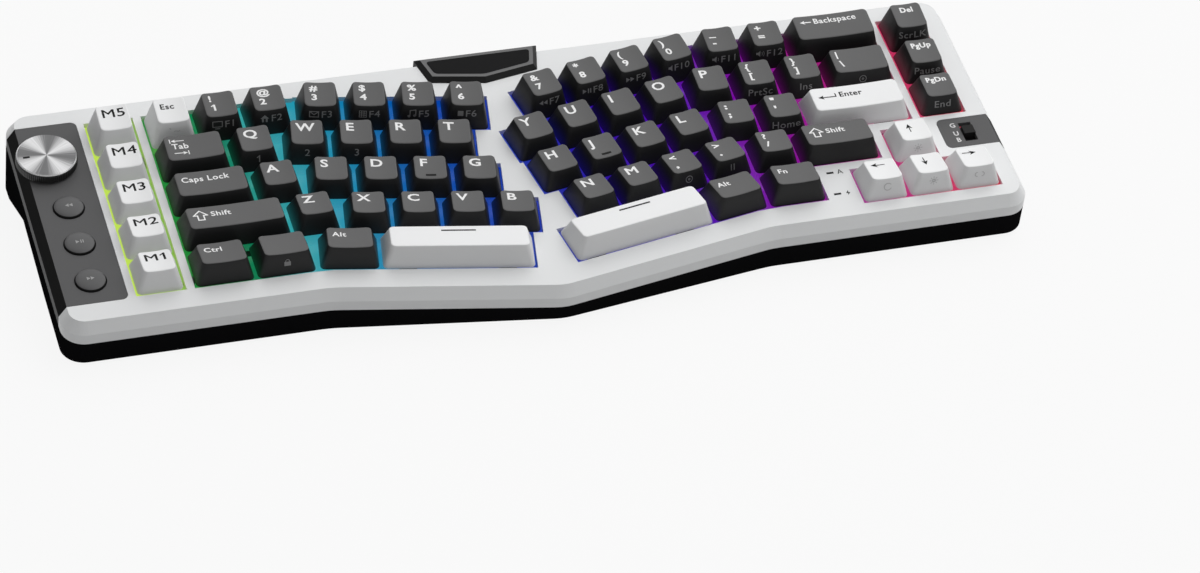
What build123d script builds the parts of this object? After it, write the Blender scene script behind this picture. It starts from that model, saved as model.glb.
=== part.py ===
from build123d import *
import math
import os

# Split ergonomic keyboard with a macro column, a media strip and two-stage feet.
# Millimetres, +Z up, standing on the table plane. The deck is the flat top of the
# white shell. It slopes up to the rear, and most pieces are drawn on it: x runs
# right from the middle of the case, y runs back from the middle of the bottom row
# of keys, and heights are measured from the deck along its normal.

# Case
case_width = 383.5
rear_reach = 97.0
front_reach = 21.9
left_wing = 52.1
typing_angle = 6.5
deck_height = 23.26
band_out = 3.0
band_drop = 4.6
shell_drop = 9.1
tray_drop = 18.9
case_corner_radius = 9.0
shell_wall = 2.2
cut_over = 1.0
tray_depth = 26.0

# The front edge follows both hands and meets in a blunt point
apex_left_of_middle = 2.3
bend_half_span = 87.5
front_angle = 10.0
apex_radius = 22.0
bend_radius = 40.0

# Keys
key_pitch = 19.05
cap_gap = 1.0
cap_slope = 3.05
cap_corner = 2.0
cap_wall = 1.2
cap_roof = 1.5
skirt_drop = 0.6
dish_depth = 0.45
row_heights = {1: 11.1, 2: 8.95, 3: 7.9, 4: 8.1, 5: 8.0}
row_tilts = {1: 4.0, 2: 3.0, 3: 0.0, 4: -6.0, 5: -9.0}
key_travel = 4.0
window_gap = 0.62

# Where the blocks of keys stand, from the left edge of the left block
macro_left = 22.45
left_hand_x = 96.17
left_hand_y = 30.92
left_hand_turn = -10.0
right_hand_x = 183.46
right_hand_y = 31.77
right_hand_turn = 10.25
right_block_x = 12.76
right_block_y = 0.49
navigation_x = 16.14
arrow_x = 26.3
arrow_y = -3.72

# Switches, plate and board
plate_drop = 6.9
plate_thickness = 1.5
plate_inset = 5.5
housing_play = 0.1
seat_gap = 0.05
wedge_overlap = 1.5
wedge_share = 0.3
board_drop = 11.9
board_thickness = 1.6
housing_side = 14.0
flange_side = 15.4
housing_rise = 5.6
housing_slope = 2.4
housing_floor = 0.8
stem_width = 6.6
stem_depth = 4.4
stem_play = 0.2
stem_rest_gap = 0.3
stabiliser_width = 6.4
stabiliser_depth = 12.0
stabiliser_rise = 4.5
stabiliser_sink = 3.6
stabiliser_floor = 0.8
stabiliser_stem = 3.0
short_stabiliser_reach = 11.9
long_stabiliser_reach = 19.05
wire_width = 1.5
wire_setback = 8.6
board_front = -19.0
board_rear = 92.0
board_inset = 7.0
board_corner_radius = 3.0

# Screws that hold the plate on the tray's posts
post_radius = 3.0
post_play = 0.5
screw_radius = 1.25
screw_play = 0.03
screw_head_radius = 2.5
screw_head_height = 1.5
screw_length = 9.0
screw_hole_gap = 1.0
# Each post's place from the left edge of the key field
posts_in_field = [
    (-1.75, 66.7),
    (-0.05, 0),
    (136.0, 84.0),
    (136.0, 22.0),
    (136.0, -14.0),
    (297.95, 60.0),
    (255.95, -2.0),
]

# Tray and its underside
tray_wall = 2.2
tray_floor = 2.0
arch_front = 15.0
arch_rear = 55.0
arch_rise = 2.0
heel_front = 82.0
facet_rise = 3.8
plateau_front = 11.0
plateau_ramp = 11.0
plateau_ramp_drop = 1.2
plateau_inset = 6.0
plateau_corner_radius = 7.0
rear_foot_height = 1.5

# Media strip, left
media_right = 26.6
media_front = -10.1
media_rear = 87.4
panel_thickness = 2.0
panel_backing = 2.0
panel_reach = 5.0
panel_play = 0.15
panel_corner_radius = 2.5

# Volume knob and its encoder
knob_radius = 11.85
knob_from_left_wall = 11.15
knob_y = 66.5
knob_lift = 0.8
knob_height = 4.0
knob_edge = 0.5
knob_bore_depth = 3.2
knob_press = 0.5
shaft_radius = 3.0
shaft_play = 0.05
shaft_hole_radius = 3.7
shaft_flat = 2.4
shaft_top_gap = 0.2
encoder_side = 12.0
encoder_rise = 4.8
shaft_sink = 3.1
shaft_floor_gap = 1.0

# Media buttons
button_radius = 5.8
button_play = 0.35
button_from_left_wall = 14.55
button_front_y = 1.5
button_pitch = 19.9
button_count = 3
button_edge = 0.5
button_crown = 1.5
flange_out = 0.9
flange_thickness = 0.8
flange_gap = 0.2
button_stem_radius = 1.75
button_travel = 0.8
button_stem_gap = 0.1
button_way_play = 0.5
tact_side = 6.0
tact_rise = 3.5

# Mode slider, right
mode_left = 24.4
mode_front = 9.9
mode_rear = 26.1
slot_from_right_wall = 13.4
slot_y = 17.85
slot_length = 10.3
slot_width = 5.2
nub_length = 4.4
nub_play = 0.3
nub_rise = 1.4
nub_flange = 7.2
nub_way_play = 0.4
nub_stem = 2.0
nub_stem_gap = 0.3
slide_switch_length = 12.0
slide_switch_width = 5.0
slide_switch_rise = 4.0

# Badge tab over the rear edge, left bare
badge_rear_half = 25.2
badge_front_half = 21.9
badge_side_y = 83.9
badge_point_y = 79.9
badge_height = 2.0
badge_frame = 1.6
badge_sink = 0.5

# Underside plate
sole_half_length = 125.5
sole_half_depth = 25.0
sole_end_half_depth = 15.0
sole_shoulder = 88.0
sole_y = 49.0
sole_thickness = 1.2
sole_recess = 1.0
sole_play = 0.2
sole_corner_radius = 4.0
label_length = 159.0
label_width = 38.0
label_depth = 0.4
label_radius = 3.0

# Rubber feet
pad_length = 31.0
pad_width = 7.0
pad_edge = 0.6
pad_from_side = 30.5
front_pad_y = -13.9
rear_pad_y = 88.5
pad_blank = 9.0

# Two-stage flip feet
pocket_width = 33.0
pocket_length = 30.0
pocket_depth = 3.9
pocket_wall = 2.6
pocket_roof = 2.0
pocket_from_side = 29.5
pocket_rear_y = 83.0
pocket_corner_radius = 1.5
foot_thickness = 3.0
foot_sink = 0.2
hinge_setback = 1.9
outer_foot_width = 30.0
outer_foot_length = 22.1
outer_foot_leg = 3.6
outer_foot_bar = 3.0
inner_foot_width = 21.6
inner_foot_length = 13.5
inner_slot_width = 1.8
inner_slot_length = 7.0
inner_slot_from_side = 4.0
trunnion_radius = 1.2
inner_trunnion_radius = 0.9
trunnion_reach = 1.3
trunnion_play = 0.05
trunnion_end_gap = 0.3

# Side light windows
light_front = 38.0
light_rear = 60.0
light_height = 4.0
light_thickness = 1.0
light_drop = 20.5
light_play = 0.1

# Battery and charging socket
battery_length = 100.0
battery_width = 45.0
battery_height = 6.0
battery_x = 62.0
battery_y = 52.0
battery_corner_radius = 3.0
socket_x = -60.0
socket_width = 8.9
socket_height = 3.2
socket_depth = 8.5
socket_hollow = 7.0
socket_wall = 0.3
socket_play = 0.3
socket_sink = 0.5
tongue_width = 6.7
tongue_thickness = 0.7

half_width = case_width / 2
deck_cosine = math.cos(math.radians(typing_angle))
deck_sine = math.sin(math.radians(typing_angle))


def level(y, height):
    """Height from the deck, along its normal, of a point at y that is this far above the table."""
    return (height - deck_height - y * deck_sine) / deck_cosine


# The deck is placed so that the whole keyboard is centred over the origin
apex_reach = bend_half_span * math.tan(math.radians(front_angle))
apex_setback = apex_radius * (1 / math.cos(math.radians(front_angle)) - 1)
foremost = -(front_reach + apex_reach - apex_setback) * deck_cosine + band_drop * deck_sine
rearmost = rear_reach * deck_cosine - level(rear_reach, rear_foot_height) * deck_sine
deck_y = -(foremost + rearmost) / 2
deck_x = (knob_radius - knob_from_left_wall) / 2
deck = Plane(
    origin=(deck_x, deck_y, deck_height),
    x_dir=(1, 0, 0),
    z_dir=(0, -deck_sine, deck_cosine),
)
side = Plane(origin=deck.origin, x_dir=deck.y_dir, z_dir=deck.x_dir)
behind = Plane(origin=deck.origin, x_dir=deck.x_dir, z_dir=-deck.y_dir)

# The flat underside of the raised rear part, level with the table
sole = Plane(
    origin=(deck_x, deck_y + (deck_height - rear_foot_height) * deck_sine / deck_cosine, rear_foot_height),
    x_dir=(1, 0, 0),
    z_dir=(0, 0, 1),
)
table = sole.offset(-rear_foot_height)

field_left = left_wing - half_width
post_spots = [(field_left + x, y) for x, y in posts_in_field]
apex_x = -apex_left_of_middle
case_corners = [
    (-half_width, rear_reach),
    (-half_width, -front_reach),
    (apex_x - bend_half_span, -front_reach),
    (apex_x, -front_reach - apex_reach),
    (apex_x + bend_half_span, -front_reach),
    (half_width, -front_reach),
    (half_width, rear_reach),
]
corner_radii = [
    case_corner_radius,
    case_corner_radius,
    bend_radius,
    apex_radius,
    bend_radius,
    case_corner_radius,
    case_corner_radius,
]


def case_outline(height, inset=0):
    """Outline of the case at a height from the deck, drawn inside its side walls by the inset."""
    with BuildSketch(deck.offset(height)) as outline:
        with BuildLine():
            FilletPolyline(*case_corners, radius=corner_radii, close=True)
        make_face()
        if inset:
            offset(amount=-inset)
    return outline.sketch


# Runs of keys, as (row, block, where the run starts, (node, width), ...).
# Starts and widths are shares of the key pitch.
key_run_shares = [
    (1, "macro", 0, ("key_m5", 1)),
    (2, "macro", 0, ("key_m4", 1)),
    (3, "macro", 0, ("key_m3", 1)),
    (4, "macro", 0, ("key_m2", 1)),
    (5, "macro", 0, ("key_m1", 1)),
    (1, "left", 0, ("key_escape", 1), ("keys_left_number_row", 1), ("keys_left_number_row", 1)),
    (1, "left hand", 3, *[("keys_left_number_row", 1)] * 4),
    (1, "right hand", 7, *[("keys_right_number_row", 1)] * 4),
    (1, "right", 11, *[("keys_right_number_row", 1)] * 2, ("key_backspace", 2)),
    (1, "navigation", 15, ("key_delete", 1)),
    (2, "left", 0, ("key_tab", 1.5), ("keys_left_upper_row", 1)),
    (2, "left hand", 2.5, *[("keys_left_upper_row", 1)] * 4),
    (2, "right hand", 6.5, *[("keys_right_upper_row", 1)] * 4),
    (2, "right", 10.5, *[("keys_right_upper_row", 1)] * 3, ("key_backslash", 1.5)),
    (2, "navigation", 15, ("key_page_up", 1)),
    (3, "left", 0, ("key_caps_lock", 1.75), ("keys_left_home_row", 1)),
    (3, "left hand", 2.75, *[("keys_left_home_row", 1)] * 4),
    (3, "right hand", 6.75, *[("keys_right_home_row", 1)] * 4),
    (3, "right", 10.75, *[("keys_right_home_row", 1)] * 2, ("key_enter", 2.25)),
    (3, "navigation", 15, ("key_page_down", 1)),
    (4, "left", 0, ("key_left_shift", 2.25), ("keys_left_lower_row", 1)),
    (4, "left hand", 3.25, *[("keys_left_lower_row", 1)] * 4),
    (4, "right hand", 7.25, *[("keys_right_lower_row", 1)] * 4),
    (4, "right", 11.25, ("keys_right_lower_row", 1), ("key_right_shift", 1.75)),
    (4, "arrows", 13.5, ("key_up", 1)),
    (5, "left", 0, ("key_left_control", 1.25), ("key_system", 1.25)),
    (5, "left hand", 2.855, ("key_left_alt", 1.25), ("key_left_space", 3.12)),
    (5, "right hand", 6.53, ("key_right_space", 3.12), ("key_right_alt", 1.25)),
    (5, "right", 11.265, ("key_fn", 1.25)),
    (5, "arrows", 12.5, ("key_left", 1), ("key_down", 1), ("key_right", 1)),
]
short_stabiliser_share = 2
long_stabiliser_share = 3
left_pivot_share = 5
right_pivot_share = 9
top_row = 1
home_row = 3
bottom_row = 5
straight_blocks = {
    "macro": (-macro_left, 0),
    "left": (0, 0),
    "right": (right_block_x, right_block_y),
    "navigation": (navigation_x, right_block_y),
    "arrows": (arrow_x, arrow_y),
}
turned_blocks = {
    "left hand": (left_hand_x, left_hand_y, left_hand_turn, left_pivot_share),
    "right hand": (right_hand_x, right_hand_y, right_hand_turn, right_pivot_share),
}


def key_spot(block, row, share, forward=0):
    """Place on the deck at this many key pitches along a row, moved back from its middle line."""
    y = (bottom_row - row) * key_pitch
    x = share * key_pitch
    turn = 0
    if block in turned_blocks:
        pivot_x, pivot_y, turn, pivot_share = turned_blocks[block]
        angle = math.radians(turn)
        if row != bottom_row:
            x += (home_row - row) * key_pitch * math.tan(angle)
        x -= pivot_share * key_pitch
        y -= (bottom_row - home_row) * key_pitch - forward
        x, y = (
            pivot_x + x * math.cos(angle) - y * math.sin(angle),
            pivot_y + x * math.sin(angle) + y * math.cos(angle),
        )
    else:
        x += straight_blocks[block][0]
        y += straight_blocks[block][1] + forward
    return Location((field_left + x, y, 0), (0, 0, turn))


keys = []
runs = []
for row, block, start, *members in key_run_shares:
    end = start
    for node, width in members:
        keys.append((node, key_spot(block, row, end + width / 2), width, row))
        end += width
    runs.append((row, block, start, end))
spots = [spot for node, spot, width, row in keys]


def stabiliser_reach(width):
    """Distance from the switch to each stabiliser under a wide key, or none under a short one."""
    if width >= long_stabiliser_share:
        return long_stabiliser_reach
    if width >= short_stabiliser_share:
        return short_stabiliser_reach
    return 0


stabiliser_spots = []
for node, spot, width, row in keys:
    for reach in {stabiliser_reach(width), -stabiliser_reach(width)} - {0}:
        stabiliser_spots.append(spot * Location((reach, 0, 0)))


# Keycaps and the switch stems they are pushed on to
def keycap(width, row):
    """Hollow cap with a tapered skirt and a tilted top, with its stems, at the origin."""
    cap_width = width * key_pitch - cap_gap
    cap_depth = key_pitch - cap_gap
    top = Plane.XY.offset(row_heights[row]).rotated((row_tilts[row], 0, 0))
    across = Plane(origin=top.origin, x_dir=top.x_dir, z_dir=-top.y_dir)
    skirt_height = row_heights[row] + skirt_drop
    taper = math.degrees(math.atan(cap_slope / skirt_height))
    roof_slope = abs(math.tan(math.radians(row_tilts[row]))) * stem_depth / 2
    stem_top = row_heights[row] - cap_roof - roof_slope - seat_gap
    stem_bottom = board_drop - housing_floor - seat_gap - key_travel - stem_rest_gap
    side_stem_bottom = plate_drop + stabiliser_sink - stabiliser_floor - key_travel - stem_rest_gap
    with BuildPart() as hollow:
        with BuildSketch(Plane.XY.offset(-skirt_drop)):
            Rectangle(cap_width - 2 * cap_wall, cap_depth - 2 * cap_wall)
        extrude(amount=skirt_height + cap_slope, taper=taper)
        split(bisect_by=top.offset(-cap_roof), keep=Keep.BOTTOM)
    with BuildPart() as cap:
        with BuildSketch(Plane.XY.offset(-skirt_drop)):
            Rectangle(cap_width, cap_depth)
        extrude(amount=skirt_height + cap_slope, taper=taper)
        split(bisect_by=top, keep=Keep.BOTTOM)
        corners = cap.edges().filter_by(lambda edge: edge.bounding_box().size.Z > skirt_height / 2)
        chamfer(corners, length=cap_corner)
        add(hollow.part, mode=Mode.SUBTRACT)
        if width < long_stabiliser_share:
            dish_span = cap_width - 2 * cap_slope
            dish_radius = dish_span**2 / (8 * dish_depth) + dish_depth / 2
            with BuildSketch(across):
                with Locations((0, dish_radius - dish_depth)):
                    Circle(dish_radius)
            extrude(amount=key_pitch, both=True, mode=Mode.SUBTRACT)
        with BuildSketch(Plane.XY.offset(-stem_bottom)):
            Rectangle(stem_width, stem_depth)
        extrude(amount=stem_bottom + stem_top)
        if stabiliser_reach(width):
            with BuildSketch(Plane.XY.offset(-side_stem_bottom)):
                with Locations((stabiliser_reach(width), 0), (-stabiliser_reach(width), 0)):
                    Rectangle(stabiliser_stem, stabiliser_stem)
            extrude(amount=side_stem_bottom + stem_top)
    return cap.part


caps = {}
for node, spot, width, row in keys:
    if (width, row) not in caps:
        caps[width, row] = keycap(width, row)
key_nodes = {}
for node in dict.fromkeys(node for node, spot, width, row in keys):
    with BuildPart(deck) as key_node:
        for name, spot, width, row in keys:
            if name == node:
                with Locations(spot):
                    add(caps[width, row])
    key_nodes[node] = key_node.part

# Window through the deck: one piece of opening around every run of keys
window_depth = key_pitch - cap_gap + 2 * window_gap
with BuildSketch(deck.offset(cut_over)) as windows:
    for row, block, start, end in runs:
        with Locations(key_spot(block, row, (start + end) / 2)):
            Rectangle((end - start) * key_pitch - cap_gap + 2 * window_gap, window_depth)
    # The wedges where the turned blocks meet the straight ones are open too
    neighbours = {"left hand": "left", "right": "right hand"}
    ends = {(row, block): end for row, block, start, end in runs}
    for row, block, start, end in runs:
        if block not in neighbours:
            continue
        other = neighbours[block]
        other_end = ends[row, other]
        rear = window_depth / 2 + (wedge_overlap if row > top_row else 0)
        front = -window_depth / 2 - (wedge_overlap if row < bottom_row else 0)
        corners = [
            key_spot(other, row, other_end - wedge_share, rear).position,
            key_spot(other, row, other_end - wedge_share, front).position,
            key_spot(block, row, start + wedge_share, front).position,
            key_spot(block, row, start + wedge_share, rear).position,
        ]
        with BuildLine():
            Polyline(*[(corner.X, corner.Y) for corner in corners], close=True)
        make_face()


def shell_form(inset):
    """Outer form of the white shell, with its sloping band, drawn in by an inset."""
    with BuildPart() as form:
        extrude(case_outline(-shell_drop, inset), amount=shell_drop - inset)
        top = form.faces().sort_by(Axis(deck.origin, deck.z_dir))[-1]
        chamfer(top.edges(), length=band_out, length2=band_drop, reference=top)
    return form.part


def panel_zone(x_low, x_high, y_low, y_high, grow=0):
    """Upright block that marks out a panel set into the shell, grown on every side."""
    with BuildPart() as zone:
        with BuildSketch(deck.offset(-shell_drop - cut_over)):
            with Locations(((x_low + x_high) / 2, (y_low + y_high) / 2)):
                RectangleRounded(
                    x_high - x_low + 2 * grow,
                    y_high - y_low + 2 * grow,
                    panel_corner_radius + grow,
                )
        extrude(amount=shell_drop + 2 * cut_over)
    return zone.part


media_zone = (-half_width - panel_reach, media_right - half_width, media_front, media_rear)
mode_zone = (half_width - mode_left, half_width + panel_reach, mode_front, mode_rear)
knob_spot = (knob_from_left_wall - half_width, knob_y)
button_x = button_from_left_wall - half_width
button_spots = [(button_x, button_front_y + n * button_pitch) for n in range(button_count)]
slot_spot = (half_width - slot_from_right_wall, slot_y)
badge_x = apex_x
badge_corners = [
    (badge_x - badge_rear_half, rear_reach),
    (badge_x - badge_front_half, badge_side_y),
    (badge_x, badge_point_y),
    (badge_x + badge_front_half, badge_side_y),
    (badge_x + badge_rear_half, rear_reach),
]
panel_skin = shell_form(panel_thickness)


def badge_block(top, grow=0):
    """Upright block with the badge's outline, grown sideways for the recess it sits in."""
    with BuildPart() as block:
        with BuildSketch(deck.offset(-band_drop)):
            with BuildLine():
                Polyline(*badge_corners, close=True)
            make_face()
            if grow:
                offset(amount=grow, kind=Kind.INTERSECTION)
        extrude(amount=band_drop + top)
    return block.part


badge_bed = shell_form(badge_sink)

# White shell
with BuildPart() as shell_hollow:
    add(shell_form(shell_wall))
    for zone in (media_zone, mode_zone):
        add(panel_zone(*zone, grow=panel_backing), mode=Mode.SUBTRACT)
    add(shell_form(panel_thickness + panel_backing))
with BuildPart() as recesses:
    for zone in (media_zone, mode_zone):
        add(panel_zone(*zone, grow=panel_play))
    add(panel_skin, mode=Mode.SUBTRACT)
with BuildPart() as badge_recess:
    add(badge_block(cut_over, grow=panel_play))
    add(badge_bed, mode=Mode.SUBTRACT)
with BuildPart() as top_shell:
    add(shell_form(0))
    add(shell_hollow.part, mode=Mode.SUBTRACT)
    add(recesses.part, mode=Mode.SUBTRACT)
    add(badge_recess.part, mode=Mode.SUBTRACT)
    extrude(windows.sketch, amount=-cut_over - panel_thickness - panel_backing, mode=Mode.SUBTRACT)
    with BuildSketch(deck.offset(cut_over)):
        with Locations(knob_spot):
            Circle(shaft_hole_radius)
        with Locations(*button_spots):
            Circle(button_radius + flange_out + button_way_play)
        with Locations(slot_spot):
            Rectangle(
                nub_flange + 2 * nub_way_play,
                slot_length - nub_length + nub_flange + 2 * nub_way_play,
            )
    extrude(amount=-cut_over - shell_drop, mode=Mode.SUBTRACT)
top_shell.part.label = "top_shell"

# Black strips let into the shell, which wrap over its edge
with BuildPart() as media_panel:
    add(panel_zone(*media_zone))
    add(shell_form(0), mode=Mode.INTERSECT)
    add(panel_skin, mode=Mode.SUBTRACT)
    with BuildSketch(deck.offset(cut_over)):
        with Locations(knob_spot):
            Circle(shaft_hole_radius)
        with Locations(*button_spots):
            Circle(button_radius + button_play)
    extrude(amount=-cut_over - shell_drop, mode=Mode.SUBTRACT)
media_panel.part.label = "media_panel"

with BuildPart() as slider_panel:
    add(panel_zone(*mode_zone))
    add(shell_form(0), mode=Mode.INTERSECT)
    add(panel_skin, mode=Mode.SUBTRACT)
    with BuildSketch(deck.offset(cut_over)):
        with Locations(slot_spot):
            Rectangle(slot_width, slot_length)
    extrude(amount=-cut_over - shell_drop, mode=Mode.SUBTRACT)
slider_panel.part.label = "slider_panel"

with BuildPart() as badge_tab:
    add(badge_block(badge_height))
    badge_top = badge_tab.faces().sort_by(Axis(deck.origin, deck.z_dir))[-1]
    chamfer(badge_top.edges(), length=badge_frame)
    add(badge_bed, mode=Mode.SUBTRACT)
badge_tab.part.label = "badge_tab"

# Tray: a shallow front, arched sides and a raised rear part that stands level
def arch(rise, setback):
    """Side view of the tray under its whole width, with a floor and a wall taken off for its hollow."""
    with BuildSketch(side) as profile:
        with BuildLine():
            Polyline(
                (-front_reach - apex_reach, 0),
                (-front_reach - apex_reach, facet_rise + rise - tray_drop),
                (-front_reach, rise - tray_drop),
                (arch_front, rise - tray_drop),
                (arch_rear + setback, arch_rise + rise - tray_drop),
                (heel_front + setback, level(heel_front + setback, rear_foot_height + rise)),
                (rear_reach, level(rear_reach, rear_foot_height + rise)),
                (rear_reach, 0),
                close=True,
            )
        make_face()
    return profile.sketch


def plateau(rise, setback):
    """Plan of the raised rear part at a height above its underside, set back for its hollow."""
    with BuildSketch(sole.offset(rise)) as plan:
        with Locations((0, (plateau_front + setback + rear_reach + plateau_front) / 2)):
            RectangleRounded(
                2 * (half_width - plateau_inset - setback),
                rear_reach - setback,
                plateau_corner_radius - setback,
            )
    return plan.sketch


foot_spots = [(s * (half_width - pocket_from_side), pocket_rear_y - pocket_length / 2) for s in (-1, 1)]
with BuildSketch(side) as ramp:
    with BuildLine():
        Polyline(
            (plateau_front - plateau_ramp, -shell_drop),
            (plateau_front - plateau_ramp, -tray_drop),
            (plateau_front, -tray_drop - plateau_ramp_drop),
            (plateau_front + plateau_ramp, -tray_drop - plateau_ramp_drop),
            (plateau_front + plateau_ramp, -shell_drop),
            close=True,
        )
    make_face()
plate_underside = plate_drop + plate_thickness
with BuildPart() as tray_form:
    extrude(arch(0, 0), amount=half_width, both=True)
    extrude(plateau(0, 0), amount=tray_depth)
    extrude(ramp.sketch, amount=half_width - plateau_inset, both=True)
    extrude(case_outline(-plate_underside), amount=-tray_depth, mode=Mode.INTERSECT)
with BuildPart() as tray_hollow:
    extrude(arch(tray_floor, tray_wall), amount=half_width, both=True)
    extrude(plateau(tray_floor, tray_wall), amount=tray_depth)
    extrude(case_outline(-plate_underside, tray_wall), amount=-tray_depth, mode=Mode.INTERSECT)
    with BuildSketch(sole):
        with Locations(*foot_spots):
            Rectangle(pocket_width + 2 * pocket_wall, pocket_length + 2 * pocket_wall)
    extrude(amount=pocket_depth + pocket_roof, mode=Mode.SUBTRACT)
sole_corners = [
    (sole_half_length, sole_y + sole_end_half_depth),
    (sole_half_length, sole_y - sole_end_half_depth),
    (sole_shoulder, sole_y - sole_half_depth),
    (-sole_shoulder, sole_y - sole_half_depth),
    (-sole_half_length, sole_y - sole_end_half_depth),
    (-sole_half_length, sole_y + sole_end_half_depth),
    (-sole_shoulder, sole_y + sole_half_depth),
    (sole_shoulder, sole_y + sole_half_depth),
]
hinge_y = pocket_rear_y - hinge_setback
hinge_rise = foot_sink + foot_thickness / 2
with BuildPart() as posts:
    with BuildSketch(deck.offset(-plate_underside)):
        with Locations(*post_spots):
            Circle(post_radius)
    extrude(amount=-tray_depth)
    add(tray_form.part, mode=Mode.INTERSECT)
light_x = half_width - plateau_inset
with BuildPart() as bottom_tray:
    add(tray_form.part)
    add(tray_hollow.part, mode=Mode.SUBTRACT)
    extrude(case_outline(0), amount=-shell_drop, mode=Mode.SUBTRACT)
    add(posts.part)
    with BuildSketch(deck.offset(-plate_drop)):
        with Locations(*post_spots):
            Circle(screw_radius + screw_play)
    extrude(amount=-screw_length - screw_hole_gap, mode=Mode.SUBTRACT)
    # Pockets for the feet, with a hole each side for the hinge pins
    with BuildSketch(sole):
        with Locations(*foot_spots):
            RectangleRounded(pocket_width, pocket_length, pocket_corner_radius)
    extrude(amount=pocket_depth, mode=Mode.SUBTRACT)
    for foot_x, foot_y in foot_spots:
        pin_plane = Plane(sole.origin, x_dir=(0, 1, 0), z_dir=(1, 0, 0)).offset(foot_x)
        with BuildSketch(pin_plane):
            with Locations((hinge_y, hinge_rise)):
                Circle(trunnion_radius + trunnion_play)
        pin_reach = pocket_width / 2 + trunnion_reach + trunnion_end_gap
        extrude(amount=pin_reach, both=True, mode=Mode.SUBTRACT)
    # Shallow bed for the underside plate
    with BuildSketch(sole):
        with BuildLine():
            FilletPolyline(*sole_corners, radius=sole_corner_radius, close=True)
        make_face()
        offset(amount=sole_play)
    extrude(amount=sole_recess, mode=Mode.SUBTRACT)
    for hand in (-1, 1):
        with BuildSketch(side.offset(hand * light_x)):
            with Locations(((light_front + light_rear) / 2, -light_drop)):
                SlotOverall(light_rear - light_front, light_height)
        extrude(amount=-hand * light_thickness, mode=Mode.SUBTRACT)
    with BuildSketch(behind.offset(-rear_reach - cut_over)):
        with Locations((socket_x, -board_drop - board_thickness - seat_gap - socket_height / 2)):
            SlotOverall(socket_width + 2 * socket_play, socket_height + 2 * socket_play)
    extrude(amount=cut_over + tray_wall + cut_over, mode=Mode.SUBTRACT)
bottom_tray.part.label = "bottom_tray"

with BuildPart() as underside_plate:
    with BuildSketch(sole.offset(sole_recess - sole_thickness)):
        with BuildLine():
            FilletPolyline(*sole_corners, radius=sole_corner_radius, close=True)
        make_face()
    extrude(amount=sole_thickness)
    with BuildSketch(sole.offset(sole_recess - sole_thickness)):
        with Locations((0, sole_y)):
            RectangleRounded(label_length, label_width, label_radius)
    extrude(amount=label_depth, mode=Mode.SUBTRACT)
underside_plate.part.label = "underside_plate"

pad_x = half_width - pad_from_side
with BuildPart() as rubber_feet:
    with BuildSketch(table):
        with Locations(*[(hand * pad_x, y) for hand in (-1, 1) for y in (front_pad_y, rear_pad_y)]):
            SlotOverall(pad_length, pad_width)
    extrude(amount=pad_blank)
    chamfer(rubber_feet.faces().group_by(Axis.Z)[0].edges(), length=pad_edge)
    add(tray_form.part, mode=Mode.SUBTRACT)
rubber_feet.part.label = "rubber_feet"

with BuildPart() as light_windows:
    for hand in (-1, 1):
        with BuildSketch(side.offset(hand * light_x)):
            with Locations(((light_front + light_rear) / 2, -light_drop)):
                SlotOverall(light_rear - light_front - 2 * light_play, light_height - 2 * light_play)
        extrude(amount=-hand * light_thickness)
light_windows.part.label = "light_windows"

# Plate that carries the switches, screwed on to the tray's posts
with BuildPart() as switch_plate:
    extrude(case_outline(-plate_underside, plate_inset), amount=plate_thickness)
    with BuildSketch(deck.offset(-plate_underside)):
        with Locations((-half_width, 0)):
            Rectangle(2 * media_right, 4 * rear_reach)
        with Locations(slot_spot):
            Rectangle(slide_switch_width + 2 * nub_stem, slide_switch_length + nub_stem)
        with Locations(*spots):
            Rectangle(housing_side + 2 * housing_play, housing_side + 2 * housing_play)
        with Locations(*stabiliser_spots):
            Rectangle(stabiliser_width + 2 * housing_play, stabiliser_depth + 2 * housing_play)
        with Locations(*post_spots):
            Circle(screw_radius + screw_play)
    extrude(amount=plate_thickness, mode=Mode.SUBTRACT)
switch_plate.part.label = "switch_plate"

with BuildPart() as case_screws:
    with BuildSketch(deck.offset(-plate_drop)):
        with Locations(*post_spots):
            Circle(screw_head_radius)
    extrude(amount=screw_head_height)
    with BuildSketch(deck.offset(-plate_drop)):
        with Locations(*post_spots):
            Circle(screw_radius)
    extrude(amount=-screw_length)
case_screws.part.label = "case_screws"

with BuildPart() as housing:
    with BuildSketch(Plane.XY.offset(seat_gap - board_drop)):
        Rectangle(housing_side, housing_side)
    extrude(amount=board_drop - plate_drop - seat_gap)
    with BuildSketch(Plane.XY.offset(-plate_drop)):
        Rectangle(flange_side, flange_side)
    extrude(amount=housing_rise, taper=math.degrees(math.atan(housing_slope / housing_rise)))
    with BuildSketch(Plane.XY.offset(seat_gap + housing_floor - board_drop)):
        Rectangle(stem_width + 2 * stem_play, stem_depth + 2 * stem_play)
    extrude(amount=board_drop, mode=Mode.SUBTRACT)
with BuildPart(deck) as switch_housings:
    with Locations(*spots):
        add(housing.part)
switch_housings.part.label = "switch_housings"

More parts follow.
